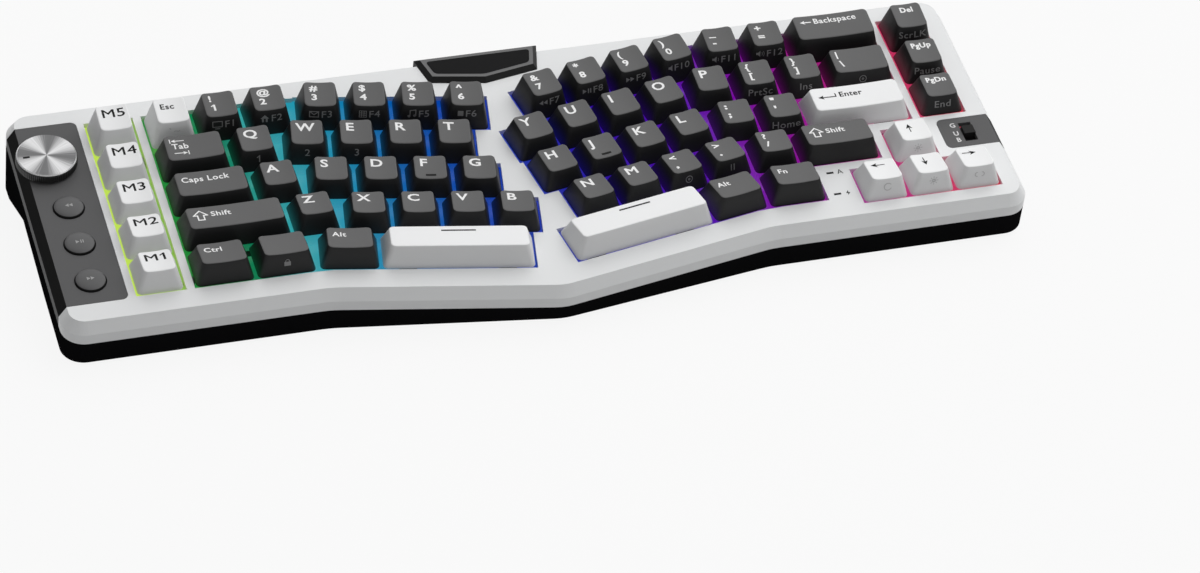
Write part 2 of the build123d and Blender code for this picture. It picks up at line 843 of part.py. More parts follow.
# Stabilisers of the wide keys: two housings and a wire, clipped into the plate
with BuildPart() as stabiliser:
    with BuildSketch(Plane.XY.offset(-plate_drop - stabiliser_sink)):
        Rectangle(stabiliser_width, stabiliser_depth)
    extrude(amount=stabiliser_sink + stabiliser_rise)
    with BuildSketch(Plane.XY.offset(stabiliser_floor - plate_drop - stabiliser_sink)):
        Rectangle(stabiliser_stem + 2 * stem_play, stabiliser_stem + 2 * stem_play)
    extrude(amount=stabiliser_sink + stabiliser_rise, mode=Mode.SUBTRACT)
with BuildPart(deck) as stabilisers:
    with Locations(*stabiliser_spots):
        add(stabiliser.part)
    for node, spot, width, row in keys:
        reach = stabiliser_reach(width)
        if reach:
            arm_end = -stabiliser_depth / 2 - seat_gap
            with BuildSketch(deck.offset(seat_gap - plate_drop)):
                with Locations(spot * Location((0, -wire_setback, 0))):
                    Rectangle(2 * reach + wire_width, wire_width)
                with Locations(
                    spot * Location((reach, (arm_end - wire_setback) / 2, 0)),
                    spot * Location((-reach, (arm_end - wire_setback) / 2, 0)),
                ):
                    Rectangle(wire_width, wire_setback + arm_end)
            extrude(amount=wire_width)
stabilisers.part.label = "stabilisers"

# Circuit board with the encoder's body, the button switches and the mode switch on it
board_width = 2 * (half_width - board_inset)
with BuildPart() as circuit_board:
    with BuildSketch(deck.offset(-board_drop)):
        with Locations((0, (board_front + board_rear) / 2)):
            RectangleRounded(board_width, board_rear - board_front, board_corner_radius)
        with Locations(*post_spots):
            Circle(post_radius + post_play, mode=Mode.SUBTRACT)
    extrude(amount=-board_thickness)
    with BuildSketch(deck.offset(seat_gap - board_drop)):
        with Locations(knob_spot):
            Rectangle(encoder_side, encoder_side)
    extrude(amount=encoder_rise)
    with BuildSketch(deck.offset(seat_gap - board_drop + encoder_rise)):
        with Locations(knob_spot):
            Circle(shaft_radius + shaft_play)
    extrude(amount=-shaft_sink - shaft_floor_gap, mode=Mode.SUBTRACT)
    with BuildSketch(deck.offset(seat_gap - board_drop)):
        with Locations(*button_spots):
            Rectangle(tact_side, tact_side)
    extrude(amount=tact_rise)
    with BuildSketch(deck.offset(seat_gap - board_drop)):
        with Locations(slot_spot):
            Rectangle(slide_switch_width, slide_switch_length)
    extrude(amount=slide_switch_rise)
circuit_board.part.label = "circuit_board"

with BuildPart() as battery:
    with BuildSketch(sole.offset(tray_floor)):
        with Locations((battery_x, battery_y)):
            RectangleRounded(battery_length, battery_width, battery_corner_radius)
    extrude(amount=battery_height)
battery.part.label = "battery"

with BuildPart() as usb_socket:
    with BuildSketch(behind.offset(socket_sink - rear_reach)):
        with Locations((socket_x, -board_drop - board_thickness - seat_gap - socket_height / 2)):
            SlotOverall(socket_width, socket_height)
    extrude(amount=socket_depth)
    with BuildSketch(behind.offset(socket_sink - rear_reach)):
        with Locations((socket_x, -board_drop - board_thickness - seat_gap - socket_height / 2)):
            SlotOverall(socket_width - 2 * socket_wall, socket_height - 2 * socket_wall)
            Rectangle(tongue_width, tongue_thickness, mode=Mode.SUBTRACT)
    extrude(amount=socket_hollow, mode=Mode.SUBTRACT)
usb_socket.part.label = "usb_socket"

# Volume knob, which slides on the flattened end of the encoder's shaft
def shaft_section(play):
    """Round shaft with one flat, with play all round."""
    with BuildSketch() as section:
        Circle(shaft_radius + play)
        with Locations((0, shaft_flat + play + shaft_radius)):
            Rectangle(4 * shaft_radius, 2 * shaft_radius, mode=Mode.SUBTRACT)
    return section.sketch


shaft_top = knob_lift + knob_bore_depth - knob_press - shaft_top_gap
flat_bottom = knob_lift - knob_press - 2 * shaft_top_gap
with BuildPart() as volume_knob:
    with BuildSketch(deck.offset(knob_lift)):
        with Locations(knob_spot):
            Circle(knob_radius)
    extrude(amount=knob_height)
    knob_top = volume_knob.faces().sort_by(Axis(deck.origin, deck.z_dir))[-1]
    chamfer(knob_top.edges(), length=knob_edge)
    with BuildSketch(deck.offset(knob_lift)):
        with Locations(knob_spot):
            add(shaft_section(shaft_play))
    extrude(amount=knob_bore_depth, mode=Mode.SUBTRACT)
volume_knob.part.label = "volume_knob"

with BuildPart() as encoder_shaft:
    shaft_bottom = board_drop - encoder_rise + shaft_sink - seat_gap
    with BuildSketch(deck.offset(-shaft_bottom)):
        with Locations(knob_spot):
            Circle(shaft_radius)
    extrude(amount=shaft_bottom + flat_bottom)
    with BuildSketch(deck.offset(flat_bottom)):
        with Locations(knob_spot):
            add(shaft_section(0))
    extrude(amount=shaft_top - flat_bottom)
encoder_shaft.part.label = "encoder_shaft"

# Media buttons, each held under the panel by its flange
tact_top = board_drop - seat_gap - tact_rise
button_bottom = tact_top - button_travel - button_stem_gap


def media_button(spot):
    """Low round button with a flange and a stem that reaches its switch."""
    flange_top = -panel_thickness - flange_gap
    with BuildPart() as button:
        with BuildSketch(deck.offset(flange_top)):
            with Locations(spot):
                Circle(button_radius)
        extrude(amount=button_crown - flange_top)
        top = button.faces().sort_by(Axis(deck.origin, deck.z_dir))[-1]
        chamfer(top.edges(), length=button_edge)
        with BuildSketch(deck.offset(flange_top)):
            with Locations(spot):
                Circle(button_radius + flange_out)
        extrude(amount=-flange_thickness)
        with BuildSketch(deck.offset(-button_bottom)):
            with Locations(spot):
                Circle(button_stem_radius)
        extrude(amount=button_bottom + flange_top)
    return button.part


next_button, play_button, previous_button = [media_button(spot) for spot in button_spots]
next_button.label = "next_button"
play_button.label = "play_button"
previous_button.label = "previous_button"

# Mode slider
with BuildPart() as mode_slider:
    nub_bottom = -panel_thickness - flange_gap
    switch_top = seat_gap - board_drop + slide_switch_rise
    with BuildSketch(deck.offset(nub_bottom)):
        with Locations(slot_spot):
            Rectangle(slot_width - 2 * nub_play, nub_length)
    extrude(amount=nub_rise - nub_bottom)
    with BuildSketch(deck.offset(nub_bottom)):
        with Locations(slot_spot):
            Rectangle(nub_flange, nub_flange)
    extrude(amount=-flange_thickness)
    with BuildSketch(deck.offset(switch_top + nub_stem_gap)):
        with Locations(slot_spot):
            Rectangle(nub_stem, nub_stem)
    extrude(amount=nub_bottom - switch_top - nub_stem_gap)
mode_slider.part.label = "mode_slider"


# Two-stage feet: a short inner one inside the frame of a tall outer one, on one axis
def foot_profile(foot_x, length, width):
    """Flat foot with a rounded heel about the hinge axis, folded into its pocket."""
    heel = Plane(sole.origin, x_dir=(0, 1, 0), z_dir=(1, 0, 0)).offset(foot_x)
    with BuildPart() as foot:
        with BuildSketch(heel):
            with Locations((hinge_y - length / 2, hinge_rise)):
                Rectangle(length, foot_thickness)
            with Locations((hinge_y, hinge_rise)):
                Circle(foot_thickness / 2)
        extrude(amount=width / 2, both=True)
    return foot.part


def outer_foot(foot_x):
    """Tall foot: a bar across two legs, with pins into the pocket's sides."""
    pin_plane = Plane(sole.origin, x_dir=(0, 1, 0), z_dir=(1, 0, 0)).offset(foot_x)
    opening = outer_foot_width - 2 * outer_foot_leg
    with BuildPart() as foot:
        add(foot_profile(foot_x, outer_foot_length, outer_foot_width))
        with BuildSketch(sole):
            with Locations((foot_x, hinge_y + outer_foot_bar)):
                Rectangle(opening, 2 * outer_foot_length)
        extrude(amount=2 * foot_thickness, mode=Mode.SUBTRACT)
        with BuildSketch(pin_plane):
            with Locations((hinge_y, hinge_rise)):
                Circle(trunnion_radius)
        extrude(amount=pocket_width / 2 + trunnion_reach, both=True)
        with BuildSketch(pin_plane):
            with Locations((hinge_y, hinge_rise)):
                Circle(foot_thickness)
        extrude(amount=opening / 2, both=True, mode=Mode.SUBTRACT)
        with BuildSketch(pin_plane):
            with Locations((hinge_y, hinge_rise)):
                Circle(inner_trunnion_radius + trunnion_play)
        extrude(amount=opening / 2 + trunnion_reach + trunnion_end_gap, both=True, mode=Mode.SUBTRACT)
    return foot.part


def inner_foot(foot_x):
    """Short foot with two slots by its heel, with pins into the outer foot's legs."""
    pin_plane = Plane(sole.origin, x_dir=(0, 1, 0), z_dir=(1, 0, 0)).offset(foot_x)
    slot_x = inner_foot_width / 2 - inner_slot_from_side
    with BuildPart() as foot:
        add(foot_profile(foot_x, inner_foot_length, inner_foot_width))
        with BuildSketch(sole):
            with Locations((foot_x - slot_x, hinge_y), (foot_x + slot_x, hinge_y)):
                Rectangle(inner_slot_width, 2 * inner_slot_length)
        extrude(amount=2 * foot_thickness, mode=Mode.SUBTRACT)
        with BuildSketch(pin_plane):
            with Locations((hinge_y, hinge_rise)):
                Circle(inner_trunnion_radius)
        extrude(amount=outer_foot_width / 2 - outer_foot_leg + trunnion_reach, both=True)
    return foot.part


left_foot_x, right_foot_x = [foot_x for foot_x, foot_y in foot_spots]
left_outer_foot = outer_foot(left_foot_x)
right_outer_foot = outer_foot(right_foot_x)
left_inner_foot = inner_foot(left_foot_x)
right_inner_foot = inner_foot(right_foot_x)
left_outer_foot.label = "left_outer_foot"
right_outer_foot.label = "right_outer_foot"
left_inner_foot.label = "left_inner_foot"
right_inner_foot.label = "right_inner_foot"

os.makedirs("parts", exist_ok=True)
export_step(top_shell.part, "parts/top_shell.step")
export_step(bottom_tray.part, "parts/bottom_tray.step")
export_step(media_panel.part, "parts/media_panel.step")
export_step(slider_panel.part, "parts/slider_panel.step")
export_step(badge_tab.part, "parts/badge_tab.step")
export_step(underside_plate.part, "parts/underside_plate.step")
export_step(rubber_feet.part, "parts/rubber_feet.step")
export_step(light_windows.part, "parts/light_windows.step")
export_step(switch_plate.part, "parts/switch_plate.step")
export_step(case_screws.part, "parts/case_screws.step")
export_step(switch_housings.part, "parts/switch_housings.step")
export_step(stabilisers.part, "parts/stabilisers.step")
export_step(circuit_board.part, "parts/circuit_board.step")
export_step(battery.part, "parts/battery.step")
export_step(usb_socket.part, "parts/usb_socket.step")
export_step(volume_knob.part, "parts/volume_knob.step")
export_step(encoder_shaft.part, "parts/encoder_shaft.step")
export_step(next_button, "parts/next_button.step")
export_step(play_button, "parts/play_button.step")
export_step(previous_button, "parts/previous_button.step")
export_step(mode_slider.part, "parts/mode_slider.step")
export_step(left_outer_foot, "parts/left_outer_foot.step")
export_step(right_outer_foot, "parts/right_outer_foot.step")
export_step(left_inner_foot, "parts/left_inner_foot.step")
export_step(right_inner_foot, "parts/right_inner_foot.step")
for node, part in key_nodes.items():
    part.label = node
    export_step(part, f"parts/{node}.step")
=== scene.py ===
import math

import bpy
from mathutils import Matrix, Vector


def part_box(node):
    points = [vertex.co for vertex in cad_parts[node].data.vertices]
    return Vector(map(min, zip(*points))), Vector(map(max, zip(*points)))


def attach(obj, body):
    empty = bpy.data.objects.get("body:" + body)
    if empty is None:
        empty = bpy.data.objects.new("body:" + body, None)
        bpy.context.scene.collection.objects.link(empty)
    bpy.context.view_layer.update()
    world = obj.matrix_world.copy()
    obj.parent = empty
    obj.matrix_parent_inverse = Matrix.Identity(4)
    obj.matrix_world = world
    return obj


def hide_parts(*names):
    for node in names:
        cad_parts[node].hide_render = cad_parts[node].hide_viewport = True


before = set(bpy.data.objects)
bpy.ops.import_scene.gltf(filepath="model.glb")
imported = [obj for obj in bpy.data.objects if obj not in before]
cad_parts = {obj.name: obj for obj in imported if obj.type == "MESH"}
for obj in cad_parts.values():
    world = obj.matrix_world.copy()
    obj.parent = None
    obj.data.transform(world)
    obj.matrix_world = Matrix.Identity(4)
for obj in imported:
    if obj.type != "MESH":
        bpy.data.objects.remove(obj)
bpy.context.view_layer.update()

# Bottom tray. One black plastic moulding: its sides are smooth and deep black, and its
# underside, the faces that look down, is charcoal, with a fine satin grain.


class Wire:
    """A shader socket that takes part in sums: each operator adds one Math node."""

    def __init__(self, nodes, socket):
        self.nodes = nodes
        self.socket = socket

    def __add__(self, other):
        return self.nodes.worked("ADD", self, other)

    __radd__ = __add__

    def __mul__(self, other):
        return self.nodes.worked("MULTIPLY", self, other)

    __rmul__ = __mul__

    def __sub__(self, other):
        return self.nodes.worked("SUBTRACT", self, other)

    def __rsub__(self, other):
        return self.nodes.worked("SUBTRACT", other, self)

    def __truediv__(self, other):
        return self.nodes.worked("DIVIDE", self, other)

    def __rtruediv__(self, other):
        return self.nodes.worked("DIVIDE", other, self)

    def __gt__(self, other):
        return self.nodes.worked("GREATER_THAN", self, other)

    def __lt__(self, other):
        return self.nodes.worked("LESS_THAN", self, other)


class Nodes:
    """A node tree, with one way to add any node to it."""

    def __init__(self, tree):
        self.tree = tree

    def fill(self, node, sockets):
        """Links or sets a node's sockets."""
        for name, value in sockets.items():
            if isinstance(value, Wire):
                self.tree.links.new(value.socket, node.inputs[name])
            else:
                node.inputs[name].default_value = value

    def node(self, kind, settings=None, sockets=None, output=0):
        """Adds a node: its settings first, then its sockets, and gives back one of its outputs."""
        made = self.tree.nodes.new(kind)
        for name, value in (settings or {}).items():
            if name == "stops":
                ramp = made.color_ramp.elements
                while len(ramp) < len(value):
                    ramp.new(1)
                for stop, (place, colour) in zip(ramp, value):
                    stop.position = place
                    stop.color = (*colour, 1)
            else:
                setattr(made, name, value)
        self.fill(made, sockets or {})
        return Wire(self, made.outputs[output])

    def worked(self, operation, *values):
        """A Math node on values, each of them a number or a link."""
        return self.node("ShaderNodeMath", {"operation": operation}, dict(enumerate(values)))


class Finish(Nodes):
    """One material: a Principled shader, and nodes that vary it over the surface."""

    bump_strength = 0.35
    gloss_swing = 0.12
    patch_size = 60
    patch_detail = 3.0

    def __init__(self, name, colour, roughness=0.5, metallic=0.0, specular=0.5):
        self.material = bpy.data.materials.new(name)
        self.material.use_nodes = True
        super().__init__(self.material.node_tree)
        self.shader = self.tree.nodes["Principled BSDF"]
        self.roughness = roughness
        self.set(**{
            "Base Color": (*colour, 1),
            "Roughness": roughness,
            "Metallic": metallic,
            "Specular IOR Level": specular,
        })

    def set(self, **sockets):
        self.fill(self.shader, sockets)

    def point(self):
        return self.node("ShaderNodeTexCoord", output="Object")

    def along(self, axis):
        """The point's coordinate along one axis, in metres."""
        return self.node("ShaderNodeSeparateXYZ", sockets={"Vector": self.point()}, output=axis)

    def facing(self, axis):
        """How far the surface faces along one axis, from -1 to 1."""
        normal = self.node("ShaderNodeTexCoord", output="Normal")
        return self.node("ShaderNodeSeparateXYZ", sockets={"Vector": normal}, output=axis)

    def noise(self, size, detail=2.0):
        sockets = {"Vector": self.point(), "Scale": 1 / size, "Detail": detail}
        return self.node("ShaderNodeTexNoise", sockets=sockets)

    def mix(self, share, first, second):
        """Colour between two colours, each of them a plain one or a link."""
        ends = [end if isinstance(end, Wire) else (*end, 1) for end in (first, second)]
        # Sockets 6 and 7 of the node are its two colours, and its output 2 is the mixed one
        return self.node("ShaderNodeMix", {"data_type": "RGBA"}, {0: share, 6: ends[0], 7: ends[1]}, output=2)

    def grain(self, size, height):
        """Fine moulded or sprayed grain, in metres: a bump, and gloss that varies in soft patches."""
        fine = self.noise(size)
        patches = self.noise(self.patch_size * size, self.patch_detail)
        self.set(Roughness=self.roughness + (fine + patches - 1) * self.gloss_swing)
        bump = {"Strength": self.bump_strength, "Distance": height, "Height": fine}
        self.set(Normal=self.node("ShaderNodeBump", sockets=bump))
        return self

    def lit(self, colour, strength):
        """Light that comes out of the surface."""
        self.set(**{"Emission Color": colour, "Emission Strength": strength})

    def dress(self, *nodes):
        """Gives CAD nodes this finish in place of the flat one that they were packed with."""
        for node in nodes:
            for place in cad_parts[node].material_slots:
                place.material = self.material


tray_black = (0.006, 0.006, 0.0065)
tray_charcoal = (0.085, 0.085, 0.086)
underside_from = -0.6
tray_finish = Finish("tray_finish", tray_black, 0.55, specular=0.0).grain(0.0006, 0.00005)
tray_below = tray_finish.facing("Z") < underside_from
tray_finish.set(**{"Base Color": tray_finish.mix(tray_below, tray_black, tray_charcoal)})
tray_finish.dress("bottom_tray")

# Rubber pads. Four soft pills with domed rims, glued under the corners of the tray, which
# carry the keyboard on the table.
MM = 0.001
case_width = 383.5
case_half = case_width / 2
typing_angle = math.radians(6.5)
# The deck is the tilted plane that carries the keys, and the sole is the level one below it
deck_x = 0.35
deck_y = -31.9385
deck_height = 23.26
deck = Matrix.Translation((deck_x, deck_y, deck_height)) @ Matrix.Rotation(typing_angle, 4, "X")
sole_height = 1.5
sole_y = deck_y + (deck_height - sole_height) * math.tan(typing_angle)
sole = Matrix.Translation((deck_x, sole_y, 0))


class Build:
    """Points and faces gathered in millimetres, then made into one piece in metres."""

    def __init__(self):
        self.points = []
        self.faces = []
        self.kinds = []

    def ring(self, points):
        start = len(self.points)
        self.points.extend(Vector(p) for p in points)
        return list(range(start, len(self.points)))

    def face(self, ring, kind=0):
        self.faces.append(ring)
        self.kinds.append(kind)

    def stack(self, rings, kinds=None):
        """Skins a pile of rings and closes both ends; kinds are the materials of its bands."""
        kinds = kinds or [0] * (len(rings) + 1)
        made = [self.ring(ring) for ring in rings]
        self.face(made[0][::-1], kinds[0])
        for low, high, kind in zip(made, made[1:], kinds[1:]):
            for n in range(len(low)):
                m = (n + 1) % len(low)
                self.face([low[n], low[m], high[m], high[n]], kind)
        self.face(made[-1], kinds[len(rings)])
        return self

    def add(self, other, place=Matrix(), kind=None):
        start = len(self.points)
        self.points.extend(place @ p for p in other.points)
        for face, its in zip(other.faces, other.kinds):
            self.face([start + n for n in face], its if kind is None else kind)
        return self

    def piece(self, name, finishes, body, slot, replaced=(), smooth=35):
        mesh = bpy.data.meshes.new(name)
        mesh.from_pydata([p * MM for p in self.points], [], self.faces)
        for finish in finishes:
            mesh.materials.append(finish.material)
        mesh.polygons.foreach_set("material_index", self.kinds)
        made = bpy.data.objects.new(name, mesh)
        bpy.context.scene.collection.objects.link(made)
        if smooth:
            mesh.shade_smooth()
            mesh.set_sharp_from_angle(angle=math.radians(smooth))
        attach(made, body)
        if replaced:
            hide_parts(*replaced)
        return made


def placed(form, x=0, y=0, z=0, turn=0, scale=1):
    """A copy of a form, scaled, turned by degrees about its own upright axis and then moved."""
    spun = Matrix.Rotation(math.radians(turn), 4, "Z") @ Matrix.Scale(scale, 4)
    return Build().add(form, Matrix.Translation((x, y, z)) @ spun)


def rounded(width, depth, radius, steps=4, side_steps=1):
    """Points of a rounded rectangle about the origin, anticlockwise from its right rear corner."""
    arcs = []
    for quarter, (right, rear) in enumerate(((1, 1), (-1, 1), (-1, -1), (1, -1))):
        x = right * (width / 2 - radius)
        y = rear * (depth / 2 - radius)
        turns = [math.radians(90 * (quarter + step / steps)) for step in range(steps + 1)]
        arcs.append([Vector((x + radius * math.cos(t), y + radius * math.sin(t), 0)) for t in turns])
    points = []
    for arc, following in zip(arcs, arcs[1:] + arcs[:1]):
        points += arc
        points += [arc[-1].lerp(following[0], step / side_steps) for step in range(1, side_steps)]
    return points


def at_height(points, z):
    return [(p.x, p.y, z) for p in points]


pad_length = 31.0
pad_width = 7.0
pad_dome = 1.3
pad_shoulder = 2.4
pad_x = case_half - 30.5
pad_places = ((-13.9, 3.9), (88.5, 2.4))
dome_steps = 6
corner_least = 0.05
pad = Build()
for pad_y, pad_top in pad_places:
    rings = []
    for step in range(dome_steps + 1):
        turn = math.radians(90 * step / dome_steps)
        inset = pad_shoulder * (1 - math.sin(turn))
        corner = pad_width / 2 - inset - corner_least
        outline = rounded(pad_length - 2 * inset, pad_width - 2 * inset, corner, steps=8)
        rings.append(at_height(outline, pad_dome * (1 - math.cos(turn))))
    rings.append(at_height(outline, pad_top))
    for hand in (-1, 1):
        pad.add(Build().stack(rings), sole @ Matrix.Translation((hand * pad_x, pad_y, 0)))
pad_rubber = Finish("pad_rubber", (0.04, 0.04, 0.041), 0.7).grain(0.0008, 0.00006)
pad.piece("rubber_pads", [pad_rubber], "case", "rubber_pads", ["rubber_feet"])

# Underside plate. Thin aluminium, blasted and clear coated, glued into a bed in the tray.
# Each end carries an engraved bracket, and a plain dark sticker lies on the middle.


def stroke(points, width, closed=False):
    """A bent line of one width, as flat quads that overlap at the bends."""
    form = Build()
    line = [Vector((*p, 0)) for p in points]
    ends = list(zip(line, line[1:]))
    if closed:
        ends.append((line[-1], line[0]))
    for start, end in ends:
        run = (end - start).normalized() * width / 2
        out = Vector((-run.y, run.x, 0))
        form.face(form.ring([start - run - out, end + run - out, end + run + out, start - run + out]))
    return form


plate_face = 1.3
plate_y = 49.0
label_length = 158.6
label_width = 37.6
label_radius = 2.8
label_low = 1.62
label_high = 1.69
engraving_rise = 0.02
bracket_width = 0.45
bracket_line = [(92.0, 17.5), (116.5, 11.5), (116.5, -6.0)]
plate_metal = Finish("plate_metal", (0.42, 0.43, 0.45), 0.38, 0.35).grain(0.0003, 0.00002)
plate_metal.dress("underside_plate")
label_print = Finish("label_print", (0.02, 0.02, 0.02), 0.5, specular=0.15).grain(0.002, 0.00001)
label_outline = rounded(label_length, label_width, label_radius, steps=6)
label = Build().stack([at_height(label_outline, label_low), at_height(label_outline, label_high)])
on_plate = sole @ Matrix.Translation((0, plate_y, 0))
Build().add(label, on_plate).piece("underside_label", [label_print], "case", "silver_plate")
engraving = Finish("engraving", (0.05, 0.05, 0.055), 0.6).grain(0.0005, 0.00001)
brackets = Build()
for hand in (-1, 1):
    brackets.add(stroke([(hand * x, y) for x, y in bracket_line], bracket_width))
face_down = Matrix.Translation((0, 0, plate_face - engraving_rise)) @ Matrix.Rotation(math.pi, 4, "Y")
brackets = Build().add(brackets, on_plate @ face_down)
brackets.piece("plate_brackets", [engraving], "case", "silver_plate", smooth=0)

# Folding feet. A short foot inside the frame of a tall one on each side, moulded in the
# tray's charcoal plastic, and clipped on to pins in the tray's pockets.
foot_plastic = Finish("foot_plastic", (0.07, 0.07, 0.071), 0.45, specular=0.3).grain(0.0006, 0.00004)
foot_plastic.dress("left_outer_foot", "right_outer_foot", "left_inner_foot", "right_inner_foot")

# Side light windows. Milky plastic bars let into the tray's sides, lit from inside in green
# at the rear, which turns to blue at the front.
window_milk = Finish("window_milk", (0.3, 0.5, 0.5), 0.3)
window_low, window_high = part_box("light_windows")
reach = (window_milk.along("Y") - window_low.y) / (window_high.y - window_low.y)
window_stops = [(0.0, (0.03, 0.35, 0.90)), (0.5, (0.0, 0.62, 0.60)), (1.0, (0.12, 0.75, 0.32))]
window_hue = window_milk.node("ShaderNodeValToRGB", {"stops": window_stops}, {"Fac": reach})
window_milk.lit(window_hue, strength=0.9)
window_milk.dress("light_windows")

# Circuit board, battery, charging socket, encoder and screws. Dark solder mask on the
# board, a shrunk wrap on the battery, and pressed or turned steel for the rest.
board_mask = Finish("board_mask", (0.01, 0.02, 0.03), 0.35).grain(0.002, 0.00002)
board_mask.dress("circuit_board")
battery_wrap = Finish("battery_wrap", (0.2, 0.24, 0.3), 0.4).grain(0.004, 0.0001)
battery_wrap.dress("battery")
steel = Finish("steel", (0.55, 0.55, 0.57), 0.3, 1.0).grain(0.0004, 0.00001)
steel.dress("usb_socket", "case_screws", "encoder_shaft")

# Switch plate, switch housings and stabilisers. The plate is painted steel and the switch
# housings are clear plastic. Lights on the board fill both with colour, from lime to red.

# Places along the keyboard in metres, and the colour of the lights there
glow_stops = [
    (-0.168, (0.58, 0.80, 0.08)),
    (-0.146, (0.48, 0.74, 0.09)),
    (-0.138, (0.0, 0.24, 0.03)),
    (-0.112, (0.0, 0.20, 0.08)),
    (-0.098, (0.03, 0.37, 0.38)),
    (-0.072, (0.01, 0.29, 0.44)),
    (-0.045, (0.0, 0.11, 0.40)),
    (-0.020, (0.0, 0.05, 0.38)),
    (0.030, (0.02, 0.0, 0.38)),
    (0.070, (0.09, 0.0, 0.40)),
    (0.105, (0.24, 0.0, 0.34)),
    (0.135, (0.42, 0.01, 0.22)),
    (0.160, (0.60, 0.02, 0.12)),
    (0.186, (0.60, 0.03, 0.06)),
]
glow_low = glow_stops[0][0]
glow_span = glow_stops[-1][0] - glow_low


def glow_hue(finish):
    """Colour of the row of lights, which follows the keyboard's length."""
    share = (finish.along("X") - glow_low) / glow_span
    stops = [((x - glow_low) / glow_span, colour) for x, colour in glow_stops]
    return finish.node("ShaderNodeValToRGB", {"stops": stops}, {"Fac": share})


# No light stands below the mode slider, between the arrow keys and the key behind them
dark_left = 0.163
dark_front = -0.025
dark_rear = -0.004
plate_paint = Finish("plate_paint", (0.2, 0.2, 0.2), 0.45).grain(0.001, 0.00003)
beside_keys = plate_paint.along("X") > dark_left
behind_arrows = plate_paint.along("Y") > dark_front
before_end_key = plate_paint.along("Y") < dark_rear
under_slider = beside_keys * behind_arrows * before_end_key
plate_paint.lit(plate_paint.mix(under_slider, glow_hue(plate_paint), (0, 0, 0)), strength=0.85)
plate_paint.dress("switch_plate")
switch_clear = Finish("switch_clear", (0.3, 0.3, 0.32), 0.25).grain(0.002, 0.00002)
switch_clear.lit(glow_hue(switch_clear), strength=0.7)
switch_clear.dress("switch_housings")
stabiliser_black = Finish("stabiliser_black", (0.02, 0.02, 0.02), 0.4).grain(0.001, 0.00003)
stabiliser_black.dress("stabilisers")

# White upper shell. Moulded and sprayed with a satin white paint, with small black marks
# beside two pinholes for the lights at the right of the bottom row.


def patch(points):
    """A flat filled outline."""
    form = Build()
    form.face(form.ring([(x, y, 0) for x, y in points]))
    return form


capital_share = 0.69
relief_share = 0.25
letter_spacing = 1.08


def glyphs(text, height, bold=0.0, stretch=1.0):
    """Letters in millimetres, a little raised, with their left end and foot at the origin."""
    curve = bpy.data.curves.new("glyphs", "FONT")
    curve.body = text
    curve.size = (height - 2 * bold) / capital_share
    curve.bevel_depth = bold
    curve.bevel_resolution = 0
    curve.resolution_u = 3
    curve.space_character = letter_spacing
    holder = bpy.data.objects.new("glyphs", curve)
    bpy.context.scene.collection.objects.link(holder)
    bpy.context.view_layer.update()
    mesh = bpy.data.meshes.new_from_object(holder.evaluated_get(bpy.context.evaluated_depsgraph_get()))
    form = Build()
    for vertex in mesh.vertices:
        x, y, z = vertex.co
        form.points.append(Vector((x * stretch, y + bold, z * relief_share)))
    for polygon in mesh.polygons:
        form.face(list(polygon.vertices))
    bpy.data.objects.remove(holder)
    bpy.data.curves.remove(curve)
    bpy.data.meshes.remove(mesh)
    if text == "1":
        # A lone 1 gets a longer flag, so that it doesn't look like a plain stroke
        stem = min(p.x for p in form.points)
        flag = [(stem - 0.2 * height, 0.72 * height), (stem + 0.1 * height, 0.92 * height)]
        form.add(stroke(flag, 0.14 * height))
    return form


def ends_of(form):
    """Left and right ends of a flat form."""
    xs = [p.x for p in form.points]
    return min(xs), max(xs)


def in_row(forms, gap):
    """Flat forms side by side, the first one's left end at the origin."""
    row = Build()
    x = 0
    for form in forms:
        left, right = ends_of(form)
        row.add(placed(form, x - left))
        x += right - left + gap
    return row


def centred(form, x=0, y=0):
    """A flat form moved so that its middle, from left to right, is at x."""
    left, right = ends_of(form)
    return placed(form, x - (left + right) / 2, y)


def ink(name, colour, roughness=0.5, specular=0.5):
    """A printed ink, with a grain that is too low to feel."""
    return Finish(name, colour, roughness, specular=specular).grain(0.0005, 0.000005)


shell_white = Finish("shell_white", (0.76, 0.77, 0.775), 0.42).grain(0.0005, 0.00002)
shell_white.dress("top_shell")
print_black = ink("print_black", (0.008, 0.008, 0.008), 0.6, specular=0.15)
print_rise = 0.03
light_dash = stroke([(-0.95, 0), (0.95, 0)], 1.0)
charge_bolt = patch([(0.3, 1.4), (-0.9, -0.2), (-0.1, -0.2), (-0.3, -1.4), (0.9, 0.2), (0.1, 0.2)])
shell_marks = [
    (light_dash, 116.55, 5.3),
    (glyphs("A", 2.5), 119.4, 4.2),
    (light_dash, 115.85, -6.5),
    (charge_bolt, 120.2, -6.5),
]
shell_print = Build()
for mark, x, y in shell_marks:
    shell_print.add(placed(mark, x, y))
on_deck = deck @ Matrix.Translation((0, 0, print_rise))
Build().add(shell_print, on_deck).piece("shell_print", [print_black], "case", "white_plastic", smooth=0)
